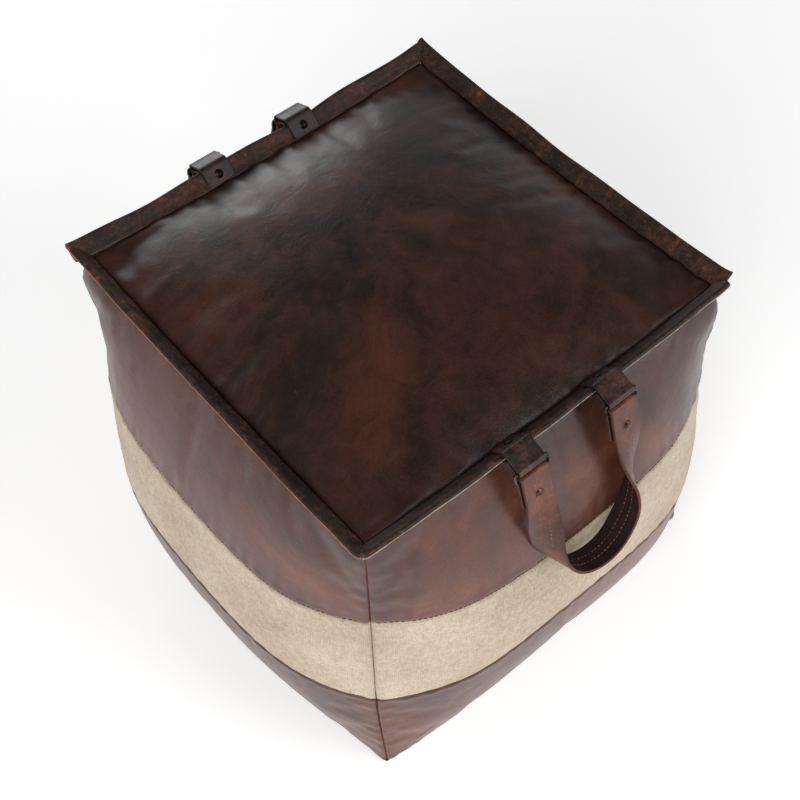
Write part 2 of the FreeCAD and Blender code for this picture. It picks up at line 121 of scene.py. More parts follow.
def ripple(x, wave, count=7):
    """Uneven waves about 1 high along x, with lengths around wave."""
    total = np.zeros_like(np.asarray(x, float))
    for _ in range(count):
        length = wave * RNG.uniform(0.6, 1.9)
        total += RNG.uniform(0.4, 1.0) * np.sin(2 * math.pi * (x / length + RNG.uniform()))
    return total / math.sqrt(count / 2)


def weights(places, count):
    """Rows of cubic weights that read a line of count samples at fractional places."""
    places = np.asarray(places, float)
    first = np.clip(np.floor(places).astype(int), 0, count - 2)
    f = places - first
    taps = {-1: -0.5 * f + f ** 2 - 0.5 * f ** 3, 0: 1 - 2.5 * f ** 2 + 1.5 * f ** 3,
            1: 0.5 * f + 2 * f ** 2 - 1.5 * f ** 3, 2: -0.5 * f ** 2 + 0.5 * f ** 3}
    table = np.zeros((len(places), count))
    for step, values in taps.items():
        for row, (at, value) in enumerate(zip(first + step, values)):
            if at < 0:
                table[row, 0] += 2 * value
                table[row, 1] -= value
            elif at >= count:
                table[row, -1] += 2 * value
                table[row, -2] -= value
            else:
                table[row, at] += value
    return table


def places(length, cells):
    """Fractional places along a run, close together near both seams and about 5 mm apart between."""
    near = np.array([0.0, 0.5, 1.2, 2.2, 3.6, 5.5, 8.0, 11.5])
    middle = np.linspace(16.0, length - 16.0, max(int((length - 32.0) / 5.0), 2))
    at = np.concatenate([near, middle, (length - near)[::-1]])
    return at / length * cells, at


def turn(points, quarter):
    """Points turned by quarter turns about the upright axis."""
    c, s = [(1, 0), (0, 1), (-1, 0), (0, -1)][quarter]
    x, y, z = points[..., 0], points[..., 1], points[..., 2]
    return np.stack([c * x - s * y, s * x + c * y, z], -1)


def unit(vectors):
    """The vectors at length one."""
    return vectors / np.maximum(np.linalg.norm(vectors, axis=-1, keepdims=True), 1e-9)


def travel(line):
    """Distance along a line of points, at each of them."""
    return np.concatenate([[0], np.cumsum(np.linalg.norm(np.diff(line, axis=0), axis=1))])


def read_at(at, run, field):
    """Values of a field along a line, at the distances asked for."""
    return np.stack([np.interp(at, run, column) for column in field.T], 1)


def normals(grid):
    """Outward unit normals of a grid of points."""
    return unit(np.cross(np.gradient(grid, axis=1), np.gradient(grid, axis=0)))


# ---- Meshes ----

class Piece:
    """Points and faces of one piece, gathered part by part."""

    def __init__(self):
        self.points, self.faces, self.slots, self.flat, self.seam = [], [], [], [], []
        self.count = 0

    def add(self, points, faces, slots=0, flat=None, seam=0.0):
        points = np.asarray(points, float).reshape(-1, 3)
        size = len(points)
        self.points.append(points)
        self.faces.append(np.asarray(faces) + self.count)
        self.slots.append(np.full(len(faces), slots) if np.isscalar(slots) else np.asarray(slots))
        self.flat.append(points if flat is None else np.asarray(flat, float).reshape(-1, 3))
        self.seam.append(np.full(size, seam) if np.isscalar(seam) else np.asarray(seam).ravel())
        self.count += size
        return self

    def make(self, name, materials, body, slot, replaces=(), levels=0, fill=None):
        """Blender object of the piece, riding on its body."""
        mesh = bpy.data.meshes.new(name)
        faces = [tuple(int(i) for i in f) for part in self.faces for f in part]
        mesh.from_pydata((np.concatenate(self.points) * MM).tolist(), [], faces)
        mesh.polygons.foreach_set("use_smooth", np.ones(len(faces), bool))
        mesh.polygons.foreach_set("material_index", np.concatenate(self.slots).astype(np.int32))
        flat = mesh.attributes.new("flat", "FLOAT_VECTOR", "POINT")
        flat.data.foreach_set("vector", (np.concatenate(self.flat) * MM).astype(np.float32).ravel())
        seam = mesh.attributes.new("seam", "FLOAT", "POINT")
        seam.data.foreach_set("value", np.concatenate(self.seam).astype(np.float32))
        for m in materials:
            mesh.materials.append(m)
        mesh.update()
        obj = bpy.data.objects.new(name, mesh)
        bpy.context.scene.collection.objects.link(obj)
        if levels:
            smooth = obj.modifiers.new("smooth", "SUBSURF")
            smooth.levels = smooth.render_levels = levels
        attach(obj, body)
        if replaces:
            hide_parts(*replaces)
        return obj


def grid_faces(rows, columns, closed=False):
    """Quads of a grid; closed joins its last column to its first."""
    last = columns if closed else columns - 1
    r, c = np.meshgrid(np.arange(rows - 1), np.arange(last), indexing="ij")
    d = (c + 1) % columns
    quads = np.stack([r * columns + c, r * columns + d, (r + 1) * columns + d, (r + 1) * columns + c], -1)
    return quads.reshape(-1, 4)


def add_skin(piece, outer, inner, flat, seam):
    """Adds a sheet with thickness: an outer and an inner grid joined round their borders."""
    rows, columns = outer.shape[:2]
    face = grid_faces(rows, columns)
    index = np.arange(rows * columns).reshape(rows, columns)
    border = np.concatenate([index[0, :-1], index[:-1, -1], index[-1, :0:-1], index[:0:-1, 0]])
    after = np.roll(border, -1)
    size = rows * columns
    rim = np.stack([after, border, border + size, after + size], -1)
    return piece.add(np.concatenate([outer.reshape(-1, 3), inner.reshape(-1, 3)]),
                     np.concatenate([face, face[:, ::-1] + size, rim]), 0,
                     np.concatenate([flat.reshape(-1, 3)] * 2), np.tile(seam.ravel(), 2))


def sweep(piece, sections, slots=0, flat=None, seam=0.0, capped=True):
    """Adds a closed section swept through places: sections is an array of station, point, xyz."""
    stations, size = sections.shape[:2]
    marks = slots if np.isscalar(slots) else np.tile(slots, stations - 1)
    start = piece.count
    piece.add(sections, grid_faces(stations, size, True), marks, flat, seam)
    if capped:
        for at, flip in ((0, 1), (stations - 1, -1)):
            ring = start + at * size + np.arange(size)[::flip]
            quads = [[ring[i], ring[i + 1], ring[size - 2 - i], ring[size - 1 - i]]
                     for i in range(size // 2 - 1)]
            piece.faces.append(np.array(quads)[:, ::-1])
            piece.slots.append(np.full(len(quads), int(np.max(slots))))


def thread(piece, starts, ends, ups, radius, sink=0.0):
    """Adds one plump stitch from each start to each end, standing along ups."""
    starts, ends, ups = (np.asarray(a, float) for a in (starts, ends, ups))
    run = ends - starts
    length = np.linalg.norm(run, axis=1, keepdims=True)
    along = run / length
    side = unit(np.cross(along, ups))
    lift = np.cross(side, along)
    rings = [(0.0, 0.35, -0.9), (0.12, 0.85, -0.1), (0.5, 1.0, 0.25), (0.88, 0.85, -0.1),
             (1.0, 0.35, -0.9)]    # place along the stitch, width and height
    sides = 6
    block = []
    for share, width, height in rings:
        centre = starts + run * share + lift * (radius * height - sink)
        for k in range(sides):
            a = 2 * math.pi * k / sides
            block.append(centre + radius * width * (side * math.cos(a) + lift * math.sin(a)))
    points = np.stack(block, 1)
    one = grid_faces(len(rings), sides, True)
    caps = np.array([[0, 3, 2, 1], [0, 5, 4, 3], [24, 25, 26, 27], [24, 27, 28, 29]])
    faces = np.concatenate([one, caps])
    count = len(rings) * sides
    every = (faces[None] + (np.arange(len(starts)) * count)[:, None, None]).reshape(-1, 4)
    piece.add(points, every, 0, np.repeat(starts, count, 0) * 7.0 + points.reshape(-1, 3))


# ---- Materials ----

def tone(red, green, blue):
    """Linear colour from everyday 0 to 255 values."""
    return [((c / 255 + 0.055) / 1.055) ** 2.4 if c > 10 else c / 255 / 12.92 for c in (red, green, blue)]


class Finish:
    """One procedural material."""

    def __init__(self, name):
        self.material = bpy.data.materials.new(name)
        self.material.use_nodes = True
        self.tree = self.material.node_tree
        self.tree.nodes.clear()
        self.object = self.node("ShaderNodeTexCoord").outputs["Object"]
        self.bumps = None

    def node(self, kind, values=None, **settings):
        n = self.tree.nodes.new(kind)
        for key, value in settings.items():
            setattr(n, key, value)
        for key, value in (values or {}).items():
            if isinstance(value, bpy.types.NodeSocket):
                self.tree.links.new(value, n.inputs[key])
            else:
                n.inputs[key].default_value = value
        return n

    def attribute(self, name, output="Vector"):
        return self.node("ShaderNodeAttribute", attribute_name=name).outputs[output]

    def noise(self, scale, detail=4.0, roughness=0.55, distortion=0.0, place=None, stretch=None):
        place = place or self.object
        if stretch:
            place = self.node("ShaderNodeMapping", {"Vector": place, "Scale": stretch}).outputs[0]
        return self.node("ShaderNodeTexNoise", {"Vector": place, "Scale": scale, "Detail": detail,
                                                "Roughness": roughness,
                                                "Distortion": distortion}).outputs[0]

    def cells(self, scale):
        values = {"Vector": self.object, "Scale": scale}
        return self.node("ShaderNodeTexVoronoi", values).outputs["Distance"]

    def ramp(self, value, stops):
        n = self.node("ShaderNodeValToRGB", {"Fac": value})
        bar = n.color_ramp.elements
        while len(bar) < len(stops):
            bar.new(0.5)
        for element, (at, colour) in zip(bar, stops):
            element.position = at
            element.color = (*colour, 1)
        return n.outputs[0]

    def level(self, value, low, high, out_low=0.0, out_high=1.0):
        return self.node("ShaderNodeMapRange", {"Value": value, "From Min": low, "From Max": high,
                                                "To Min": out_low, "To Max": out_high}).outputs[0]

    def sum(self, a, b, operation="ADD"):
        return self.node("ShaderNodeMath", {0: a, 1: b}, operation=operation).outputs[0]

    def blend(self, a, share, b, rest):
        return self.sum(self.sum(a, share, "MULTIPLY"), self.sum(b, rest, "MULTIPLY"))

    def mix(self, share, a, b):
        a, b = (c if isinstance(c, bpy.types.NodeSocket) else (*c, 1) for c in (a, b))
        return self.node("ShaderNodeMix", {0: share, 6: a, 7: b}, data_type="RGBA").outputs[2]

    def bump(self, height, depth, strength):
        values = {"Height": height, "Distance": depth * MM, "Strength": strength}
        if self.bumps:
            values["Normal"] = self.bumps
        self.bumps = self.node("ShaderNodeBump", values).outputs[0]

    def done(self, colour, roughness, **fixed):
        values = {"Base Color": colour, "Roughness": roughness}
        values.update({key.replace("_", " "): value for key, value in fixed.items()})
        if self.bumps:
            values["Normal"] = self.bumps
        shader = self.node("ShaderNodeBsdfPrincipled", values)
        out = self.node("ShaderNodeOutputMaterial")
        self.tree.links.new(shader.outputs[0], out.inputs[0])
        return self.material


def leather(name, stops, burnish, rough, patch, coat, grain, bias=None, fine=0.28, gloss=0.5):
    """Waxed leather: broad uneven dye, small mottling, pebbled grain, creases and darker seams."""
    f = Finish(name)
    broad = f.noise(patch, 5.0, 0.6, 1.4)
    small = f.noise(patch * 7, 6.0, 0.65, 0.8)
    speck = f.noise(420.0, 3.0, 0.6)
    value = f.blend(broad, 1 - fine, small, fine)
    # bias shifts the tone by place; on the sides it is painted shade under the top seam.
    if bias:
        value = f.sum(value, bias(f))
    value = f.sum(value, f.level(speck, 0.3, 0.7, -0.035, 0.035))
    colour = f.ramp(value, stops)
    near = f.sum(f.attribute("seam", "Fac"), f.level(f.noise(90.0, 4.0), 0.3, 0.7, 0.25, 1.0), "MULTIPLY")
    colour = f.mix(near, colour, burnish)
    scuffs = f.level(f.noise(60.0, 8.0, 0.75, 0.6), 0.66, 0.78, 0.0, 0.3)
    colour = f.mix(scuffs, colour, tone(150, 100, 74))
    pebble = f.cells(620.0)
    creases = f.noise(34.0, 5.0, 0.6, 2.2, stretch=(1.0, 1.0, 1.6))
    f.bump(f.noise(11.0, 3.0, 0.5, 0.6), 2.2 * grain, 0.55)
    f.bump(creases, 0.75 * grain, 0.5)
    f.bump(pebble, 0.16 * grain, 0.55)
    f.bump(speck, 0.10 * grain, 0.4)
    roughness = f.level(f.sum(small, f.level(pebble, 0.0, 0.8, -0.06, 0.06)), 0.3, 0.7, *rough)
    return f.done(colour, roughness, Coat_Weight=coat, Coat_Roughness=0.32, Specular_IOR_Level=gloss)


def top_bias(f):
    """The top is nearly black in its middle and redder towards its left and near edges."""
    centre = f.node("ShaderNodeMapping", {"Vector": f.object, "Location": (-0.055, -0.03, -0.42),
                                          "Scale": (1.0, 1.0, 0.2)}).outputs[0]
    away = f.node("ShaderNodeVectorMath", {0: centre}, operation="LENGTH").outputs["Value"]
    return f.level(away, 0.04, 0.24, -0.13, 0.10)


def side_painted_shade(f):
    """Painted shade on the sides: they are darkened up the upper panel, darkest just under the top seam."""
    height = f.node("ShaderNodeSeparateXYZ", {0: f.object}).outputs[2]
    return f.level(height, 0.29, 0.40, 0.03, -0.07)


def raw_edge(name, dark, light):
    """Cut edge of leather: fibrous, streaked along its length."""
    f = Finish(name)
    fibre = f.noise(300.0, 6.0, 0.7, 0.5)
    patchy = f.noise(45.0, 4.0, 0.6)
    colour = f.ramp(f.blend(fibre, 0.5, patchy, 0.5), [(0.36, dark), (0.62, light)])
    f.bump(fibre, 0.25, 0.8)
    return f.done(colour, f.level(fibre, 0.3, 0.7, 0.62, 0.85))


def woven(name, stops, threads, depth):
    """Plain woven cloth, threads to the metre, following the piece's own flat layout."""
    f = Finish(name)
    flat = f.attribute("flat")
    wobble = f.node("ShaderNodeVectorMath", {0: flat, 1: f.node("ShaderNodeVectorMath", {
        0: f.node("ShaderNodeTexNoise", {"Vector": flat, "Scale": 60.0, "Detail": 3.0}).outputs["Color"],
        "Scale": 0.0016}, operation="SCALE").outputs[0]}, operation="ADD").outputs[0]
    parts = f.node("ShaderNodeSeparateXYZ", {0: wobble}).outputs
    turns = 2 * math.pi * threads
    warp = f.sum(f.sum(parts[0], turns, "MULTIPLY"), 0.0, "SINE")
    weft = f.sum(f.sum(parts[1], turns, "MULTIPLY"), 0.0, "SINE")
    over = f.sum(f.sum(f.sum(parts[0], parts[1]), turns / 2, "MULTIPLY"), 0.0, "SINE")
    weave = f.sum(f.sum(warp, weft), f.sum(over, 0.5, "MULTIPLY"))
    yarn = f.noise(1.0, 3.0, 0.6, place=flat, stretch=(60.0, 900.0, 1.0))
    yarn_up = f.noise(1.0, 3.0, 0.6, place=flat, stretch=(900.0, 60.0, 1.0))
    broad = f.noise(9.0, 5.0, 0.6, 0.5)
    fluff = f.noise(560.0, 4.0, 0.75)
    blots = f.noise(150.0, 4.0, 0.6)
    value = f.blend(f.sum(yarn, yarn_up), 0.25, broad, 0.5)
    value = f.sum(value, f.level(weave, -2.0, 2.0, -0.06, 0.06))
    for cloud, share in ((fluff, 0.17), (blots, 0.08)):
        value = f.sum(value, f.level(cloud, 0.3, 0.7, -share, share))
    colour = f.ramp(value, stops)
    near = f.sum(f.attribute("seam", "Fac"), 0.35, "MULTIPLY")
    colour = f.mix(near, colour, [0.6 * c for c in stops[0][1]])
    f.bump(f.noise(16.0, 4.0, 0.55, 0.8), 1.6, 0.5)
    f.bump(weave, depth, 0.6)
    f.bump(f.sum(yarn, fluff), depth * 1.2, 0.6)
    return f.done(colour, f.level(fluff, 0.3, 0.7, 0.78, 0.95), Sheen_Weight=0.15, Sheen_Roughness=0.6,
                  Specular_IOR_Level=0.25)


def metal(name, clean, tarnish, amount, rough=(0.22, 0.5)):
    """Old cast or drawn metal: tarnish in patches, fine scratches and small dents."""
    f = Finish(name)
    patches = f.noise(160.0, 7.0, 0.7, 0.6)
    scratch = f.noise(900.0, 3.0, 0.6, 0.2, stretch=(0.2, 1.0, 1.0))
    share = f.level(patches, amount - 0.09, amount + 0.09)
    colour = f.mix(share, tarnish, clean)
    f.bump(f.noise(240.0, 3.0, 0.5), 0.18, 0.7)
    f.bump(scratch, 0.03, 0.5)
    return f.done(colour, f.level(f.sum(patches, scratch), 0.7, 1.3, *rough), Metallic=0.95)


def plastic(name, dark, light):
    """Dull moulded nylon."""
    f = Finish(name)
    cloud = f.noise(240.0, 4.0, 0.6)
    f.bump(f.noise(1500.0, 2.0), 0.03, 0.5)
    colour = f.ramp(cloud, [(0.35, dark), (0.65, light)])
    return f.done(colour, f.level(cloud, 0.3, 0.7, 0.4, 0.55))


def fibre_fill(name):
    """Loose white and grey fibres of the stuffing."""
    f = Finish(name)
    tuft = f.noise(26.0, 8.0, 0.75, 2.5)
    hair = f.noise(500.0, 5.0, 0.8, 1.0)
    f.bump(tuft, 6.0, 0.8)
    f.bump(hair, 0.8, 0.7)
    stops = [(0.3, tone(186, 180, 166)), (0.7, tone(238, 235, 226))]
    colour = f.ramp(f.blend(tuft, 0.6, hair, 0.4), stops)
    return f.done(colour, 0.95, Sheen_Weight=0.4, Sheen_Roughness=0.5)


def thread_finish(name, dark, light):
    """Waxed sewing thread with its twist."""
    f = Finish(name)
    flat = f.attribute("flat")
    twist = f.node("ShaderNodeTexWave", {"Vector": flat, "Scale": 600.0, "Distortion": 2.0},
                   bands_direction="DIAGONAL").outputs["Fac"]
    wear = f.noise(40.0, 3.0, 0.6, place=flat)
    f.bump(twist, 0.12, 0.7)
    colour = f.ramp(f.blend(wear, 0.8, twist, 0.2), [(0.35, dark), (0.65, light)])
    return f.done(colour, f.level(twist, 0.0, 1.0, 0.5, 0.75))


TOP_LEATHER = leather(
    "top_leather", [(0.28, tone(11, 9, 8)), (0.43, tone(23, 15, 12)), (0.55, tone(42, 23, 17)),
                    (0.74, tone(82, 43, 29))],
    tone(38, 20, 15), (0.32, 0.48), 4.2, 0.1, 1.0, top_bias, gloss=0.4)
# Side leather carries painted shade: its last argument darkens the upper panels towards the top seam.
SIDE_LEATHER = leather(
    "side_leather", [(0.28, tone(40, 22, 18)), (0.43, tone(68, 38, 29)), (0.56, tone(92, 52, 39)),
                     (0.72, tone(124, 76, 56))],
    tone(70, 28, 18), (0.28, 0.44), 5.0, 0.15, 1.0, side_painted_shade)
BASE_LEATHER = leather(
    "base_leather", [(0.25, tone(48, 27, 22)), (0.75, tone(92, 54, 42))],
    tone(38, 20, 15), (0.5, 0.7), 5.0, 0.05, 1.2)
DARK_LEATHER = leather(
    "dark_leather", [(0.34, tone(18, 14, 12)), (0.47, tone(40, 27, 21)), (0.57, tone(72, 43, 31)),
                     (0.68, tone(128, 70, 45))],
    tone(18, 12, 10), (0.46, 0.66), 24.0, 0.0, 0.8, fine=0.6, gloss=0.3)
TAB_LEATHER = leather(
    "tab_leather", [(0.32, tone(20, 15, 13)), (0.50, tone(46, 32, 26)), (0.64, tone(92, 56, 41))],
    tone(20, 14, 12), (0.34, 0.54), 22.0, 0.1, 1.0, fine=0.5, gloss=0.35)
STRAP_FACE = leather(
    "strap_face", [(0.32, tone(48, 26, 20)), (0.5, tone(88, 46, 33)), (0.68, tone(130, 74, 50))],
    tone(44, 22, 16), (0.32, 0.5), 16.0, 0.1, 0.9, fine=0.45, gloss=0.4)
STRAP_BACK = leather(
    "strap_back", [(0.3, tone(22, 14, 11)), (0.75, tone(60, 38, 30))],
    tone(22, 15, 12), (0.5, 0.7), 30.0, 0.0, 0.8, fine=0.5, gloss=0.3)
EDGE_RED = raw_edge("edge_red", tone(34, 18, 14), tone(108, 54, 36))
EDGE_TAN = raw_edge("edge_tan", tone(84, 48, 32), tone(196, 122, 82))
EDGE_PALE = raw_edge("edge_pale", tone(60, 50, 44), tone(176, 168, 156))
CANVAS = woven("canvas", [(0.26, tone(160, 139, 115)), (0.5, tone(198, 179, 156)),
                          (0.74, tone(224, 210, 193))], 620.0, 0.22)
LINING = woven("lining", [(0.3, tone(200, 192, 174)), (0.7, tone(232, 226, 212))], 800.0, 0.12)
TAPE_CLOTH = woven("tape_cloth", [(0.3, tone(40, 30, 26)), (0.7, tone(70, 54, 46))], 1400.0, 0.08)
FILL = fibre_fill("fill_fibres")
COIL = plastic("coil_nylon", tone(38, 28, 24), tone(66, 50, 42))
BRASS = metal("antique_brass_metal", tone(196, 158, 96), tone(84, 62, 38), 0.5)
RING_METAL = metal("ring_metal", tone(118, 106, 94), tone(34, 29, 26), 0.56, (0.16, 0.38))
DARK_METAL = metal("dark_rivet_metal", tone(96, 80, 70), tone(32, 26, 23), 0.56, (0.24, 0.45))
COPPER_METAL = metal("copper_rivet_metal", tone(132, 100, 86), tone(40, 28, 24), 0.54, (0.18, 0.38))
SEAM_THREAD = thread_finish("seam_thread_finish", tone(72, 28, 19), tone(140, 60, 38))
DARK_THREAD = thread_finish("dark_thread_finish", tone(34, 24, 20), tone(84, 58, 44))
STRAP_THREAD = thread_finish("strap_thread_finish", tone(84, 44, 28), tone(176, 112, 72))


# ---- Cover ----

def corner_half(t):
    """Half width at the corners, at share t of the height."""
    return (BASE_HALF * (1 - t) * (1 - 2 * t) + 4 * WAIST_HALF * t * (1 - t) + SEAM_HALF * t * (2 * t - 1))


def swelling(t, u):
    """How far a side stands out past its corners, u running -1 to 1 across it."""
    belly = BULGE * np.maximum(1 - (2 * t - 1) ** 2, 0.0) ** 0.75 + BASE_BULGE * (1 - t) ** 2
    return belly * (1 - np.abs(u) ** BULGE_FLATNESS)


def root_height(u):
    """Height of the top seam's root."""
    return ROOT_CORNER - ROOT_SAG * (1 - np.abs(u) ** ROOT_FLAT)


def level(u, s):
    """Height across a side: s runs 0 to 1 up the lower panel, to 2 up the canvas, to 3 up the upper."""
    marks = [np.zeros_like(u), BAND_LOW + BAND_LOW_RISE * (1 - u ** 2),
             BAND_HIGH - BAND_HIGH_DROP * (1 - u ** 2), root_height(u)]
    z = marks[0]
    for k in range(3):
        z = z + np.clip(s - k, 0, 1) * (marks[k + 1] - marks[k])
    return z


# Where the stuffing pushes the cover out of square: place (x, y, z), move (x, y), reach and height.
SHOVES = (
    ((-208.0, 208.0, 372.0), (-8.0, 8.0), 70.0, 34.0),
    ((208.0, -208.0, 368.0), (5.0, -5.0), 60.0, 30.0),
    ((-218.0, -218.0, 0.0), (0.0, -9.0), 90.0, 80.0),
    ((-245.0, 10.0, 105.0), (-9.0, 0.0), 150.0, 80.0),
    ((208.0, -208.0, 170.0), (3.0, -3.0), 70.0, 60.0),
)


def shoved(points):
    """Points moved out of square where the stuffing is uneven."""
    moved = np.array(points, float)
    for (x, y, z), push, reach, height in SHOVES:
        near = np.exp(-((points[..., 0] - x) ** 2 + (points[..., 1] - y) ** 2) / reach ** 2
                      - ((points[..., 2] - z) / height) ** 2)
        near = near * np.clip((ROOT_CORNER - points[..., 2]) / 20.0, 0, 1)
        moved[..., :2] += near[..., None] * np.array(push)
    return moved


def side_surface(inset=0.0, across=ACROSS, up=LEVELS):
    """Grid of points of the front side, rows upwards."""
    rows = np.concatenate([k + np.arange(n) / n for k, n in enumerate(up)] + [[3.0]])
    u, s = np.meshgrid(np.linspace(-1, 1, across + 1), rows)
    z = level(u, s)
    t = z / root_height(u)
    half = corner_half(t) - inset
    return np.stack([u * half, -(half + swelling(t, u)), z], -1)


def top_surface(inset=0.0, across=ACROSS):
    """Grid of points of the crowned top, rows towards the back."""
    u, v = np.meshgrid(np.linspace(-1, 1, across + 1), np.linspace(-1, 1, across + 1))
    edge = ROOT_CORNER - ROOT_SAG * ((1 - np.abs(u) ** ROOT_FLAT) + (1 - np.abs(v) ** ROOT_FLAT))
    full = np.maximum((1 - u ** 2) * (1 - v ** 2), 0.0) ** CROWN_POWER
    half = SEAM_HALF - inset
    return np.stack([u * half, v * half, edge + (CROWN_Z - edge) * full - inset], -1)


def smoothed(field):
    """Broad part of a grid of moves that are zero along its border."""
    low = field.copy()
    for _ in range(SMOOTHINGS):
        low[1:-1, 1:-1] = 0.5 * low[1:-1, 1:-1] + 0.125 * (low[:-2, 1:-1] + low[2:, 1:-1]
                                                         + low[1:-1, :-2] + low[1:-1, 2:])
    return low


def cover_mesh(sides, top):
    """One welded sheet of the four sides and the top: its points, faces and pinned points."""
    ring = 4 * ACROSS
    points = np.zeros(((UP_CELLS + 1) * ring, 3))
    for k in range(4):
        block = sides[k][:, :ACROSS]
        for j in range(UP_CELLS + 1):
            points[j * ring + k * ACROSS:j * ring + (k + 1) * ACROSS] = block[j]
    index = -np.ones((ACROSS + 1, ACROSS + 1), int)
    base = UP_CELLS * ring
    for i in range(ACROSS + 1):
        index[0, i] = base + i
        index[i, ACROSS] = base + ACROSS + i
        index[ACROSS, ACROSS - i] = base + 2 * ACROSS + i
        index[ACROSS - i, 0] = base + (3 * ACROSS + i) % ring
    inner = top[1:-1, 1:-1].reshape(-1, 3)
    index[1:-1, 1:-1] = len(points) + np.arange(len(inner)).reshape(ACROSS - 1, ACROSS - 1)
    faces = [grid_faces(UP_CELLS + 1, ring, True)]
    quads = np.stack([index[:-1, :-1], index[:-1, 1:], index[1:, 1:], index[1:, :-1]], -1)
    faces.append(quads.reshape(-1, 4))
    corners = [j * ring + k * ACROSS for j in range(UP_CELLS + 1) for k in range(4)]
    pinned = sorted(set(list(range(ring)) + list(range(base, base + ring)) + corners))
    return np.concatenate([points, inner]), np.concatenate(faces), pinned, index


def blown(points, faces, pinned):
    """The sheet after cloth simulation under the stuffing's pressure."""
    mesh = bpy.data.meshes.new("cloth")
    mesh.from_pydata((points * MM).tolist(), [], faces.tolist())
    obj = bpy.data.objects.new("cloth", mesh)
    scene = bpy.context.scene
    scene.collection.objects.link(obj)
    obj.vertex_groups.new(name="sewn").add([int(i) for i in pinned], 1.0, "REPLACE")
    cloth = obj.modifiers.new("cloth", "CLOTH")
    s = cloth.settings
    s.quality = 5
    s.mass = 0.3
    s.tension_stiffness = s.compression_stiffness = 25.0
    s.shear_stiffness = 10.0
    s.bending_stiffness = 1.2
    s.vertex_group_mass = "sewn"
    s.use_pressure = True
    s.uniform_pressure_force = 4.0
    s.shrink_min = -0.014
    s.effector_weights.gravity = 0.0
    cloth.collision_settings.use_self_collision = False
    scene.frame_start, scene.frame_end = 1, FRAMES
    for f in range(1, FRAMES + 1):
        scene.frame_set(f)
    held = obj.evaluated_get(bpy.context.evaluated_depsgraph_get())
    flat = np.zeros(len(points) * 3, np.float32)
    held.data.vertices.foreach_get("co", flat)
    bpy.data.objects.remove(obj)
    scene.frame_set(1)
    return flat.reshape(-1, 3).astype(float) / MM


MAX_MOVE = 9.0             # most that the simulation may move a point
BROAD_SHARE = 0.25         # share kept of its broad swelling
WRINKLE_SHARE = 0.6        # and of its wrinkles


def settled(start, moved):
    """Grid with the simulation's wrinkles and part of its swelling."""
    move = moved - start
    low = smoothed(move)
    move = WRINKLE_SHARE * (move - low) + BROAD_SHARE * low
    size = np.linalg.norm(move, axis=-1, keepdims=True)
    return start + move * np.minimum(1.0, MAX_MOVE / np.maximum(size, 1e-6))


def cover_grids():
    front = side_surface()
    sides = [shoved(turn(front, k)) for k in range(4)]
    top = top_surface()
    points, faces, pinned, index = cover_mesh(sides, top)
    after = blown(points, faces, pinned)
    ring = 4 * ACROSS
    wall = after[:(UP_CELLS + 1) * ring].reshape(UP_CELLS + 1, ring, 3)
    wall = np.concatenate([wall, wall[:, :1]], 1)
    done = [settled(sides[k], wall[:, k * ACROSS:(k + 1) * ACROSS + 1]) for k in range(4)]
    return done, settled(top, after[index])


SEAM_DEPTH = 2.6           # how far a panel's edge turns in at a seam
SEAM_ROLL = 1.1            # how quickly
SEAM_PUFF = 0.45           # how much it stands up beside the seam
PANEL_GAP = 0.3            # parting between a panel and its seam
SIDE_WIDTH = 450.0         # sewn width of a side, and height of each of its panels
LOWER_HEIGHT = 150.0
CANVAS_HEIGHT = 138.0
UPPER_HEIGHT = 122.0
TOP_WIDTH = 2 * SEAM_HALF


def tuck(distance):
    """How far a panel's face lies below the cover at a distance from its seam."""
    return SEAM_DEPTH * np.exp(-distance / SEAM_ROLL) - SEAM_PUFF * np.exp(-((distance - 4.5) / 3.0) ** 2)


def gather(distance, along, depth, wave, reach):
    """Puckers that stand across a seam and fade away from it."""
    return depth * ripple(along, wave) * np.exp(-distance / reach) * (1 - np.exp(-distance / 2.0))


def panel_part(grid, rows, columns, lengths, seams, depth, wave=17.0, reach=14.0, gap=PANEL_GAP):
    """Fine panel cut from a grid: outer and inner points, flat layout and nearness to its seams.

    seams tells which of the left, right, low and high borders are turned in.
    """
    first, last = rows
    down, at_v = places(lengths[1], last - first)
    over, at_u = places(lengths[0], columns)
    shift = gap / lengths[1] * (last - first)
    down = first + np.clip(down, shift, last - first - shift)
    shift = gap / lengths[0] * columns
    over = np.clip(over, shift, columns - shift)
    fine = np.einsum("ri,ijk->rjk", weights(down, grid.shape[0]), grid)
    fine = np.einsum("cj,rjk->rck", weights(over, grid.shape[1]), fine)
    outward = normals(fine)
    u, v = np.meshgrid(at_u, at_v)
    distances = (u, lengths[0] - u, v, lengths[1] - v)
    along = (v, v, u, u)
    low = np.zeros(u.shape)
    closest = np.full(u.shape, 1e3)
    for sewn, d, a in zip(seams, distances, along):
        if sewn:
            low = low + tuck(d) - gather(d, a, depth, wave, reach)
            closest = np.minimum(closest, d)
    fine = fine - outward * np.minimum(low, SEAM_DEPTH + 0.6)[..., None]
    flat = np.stack([u, v, np.zeros_like(u)], -1)
    return fine, fine - outward * SKIN, flat, np.exp(-closest / 2.6)


def seam_line(grid, row, start, end, step):
    """Points and normals along one row of a grid, about step apart."""
    count = int(travel(grid[row])[-1] / step)
    over = np.linspace(start, end, count)
    line = np.einsum("cj,jk->ck", weights(over, grid.shape[1]), grid[row])
    out = np.einsum("cj,jk->ck", weights(over, grid.shape[1]), normals(grid)[row])
    return line, unit(out)


def dashes(piece, line, out, radius, sink, share=0.68, slant=0.0, rise=0.0):
    """Adds a row of stitches along a line of points."""
    begin, following = line[:-1], line[1:]
    run = following - begin
    out = out[:-1]
    across = unit(np.cross(run, out))
    jitter = RNG.normal(0, 0.12, (len(begin), 1)) * across
    a = begin + run * (1 - share) / 2 + across * slant / 2 + jitter + out * rise
    b = begin + run * (1 + share) / 2 - across * slant / 2 + jitter + out * rise
    thread(piece, a, b, out, radius, sink)


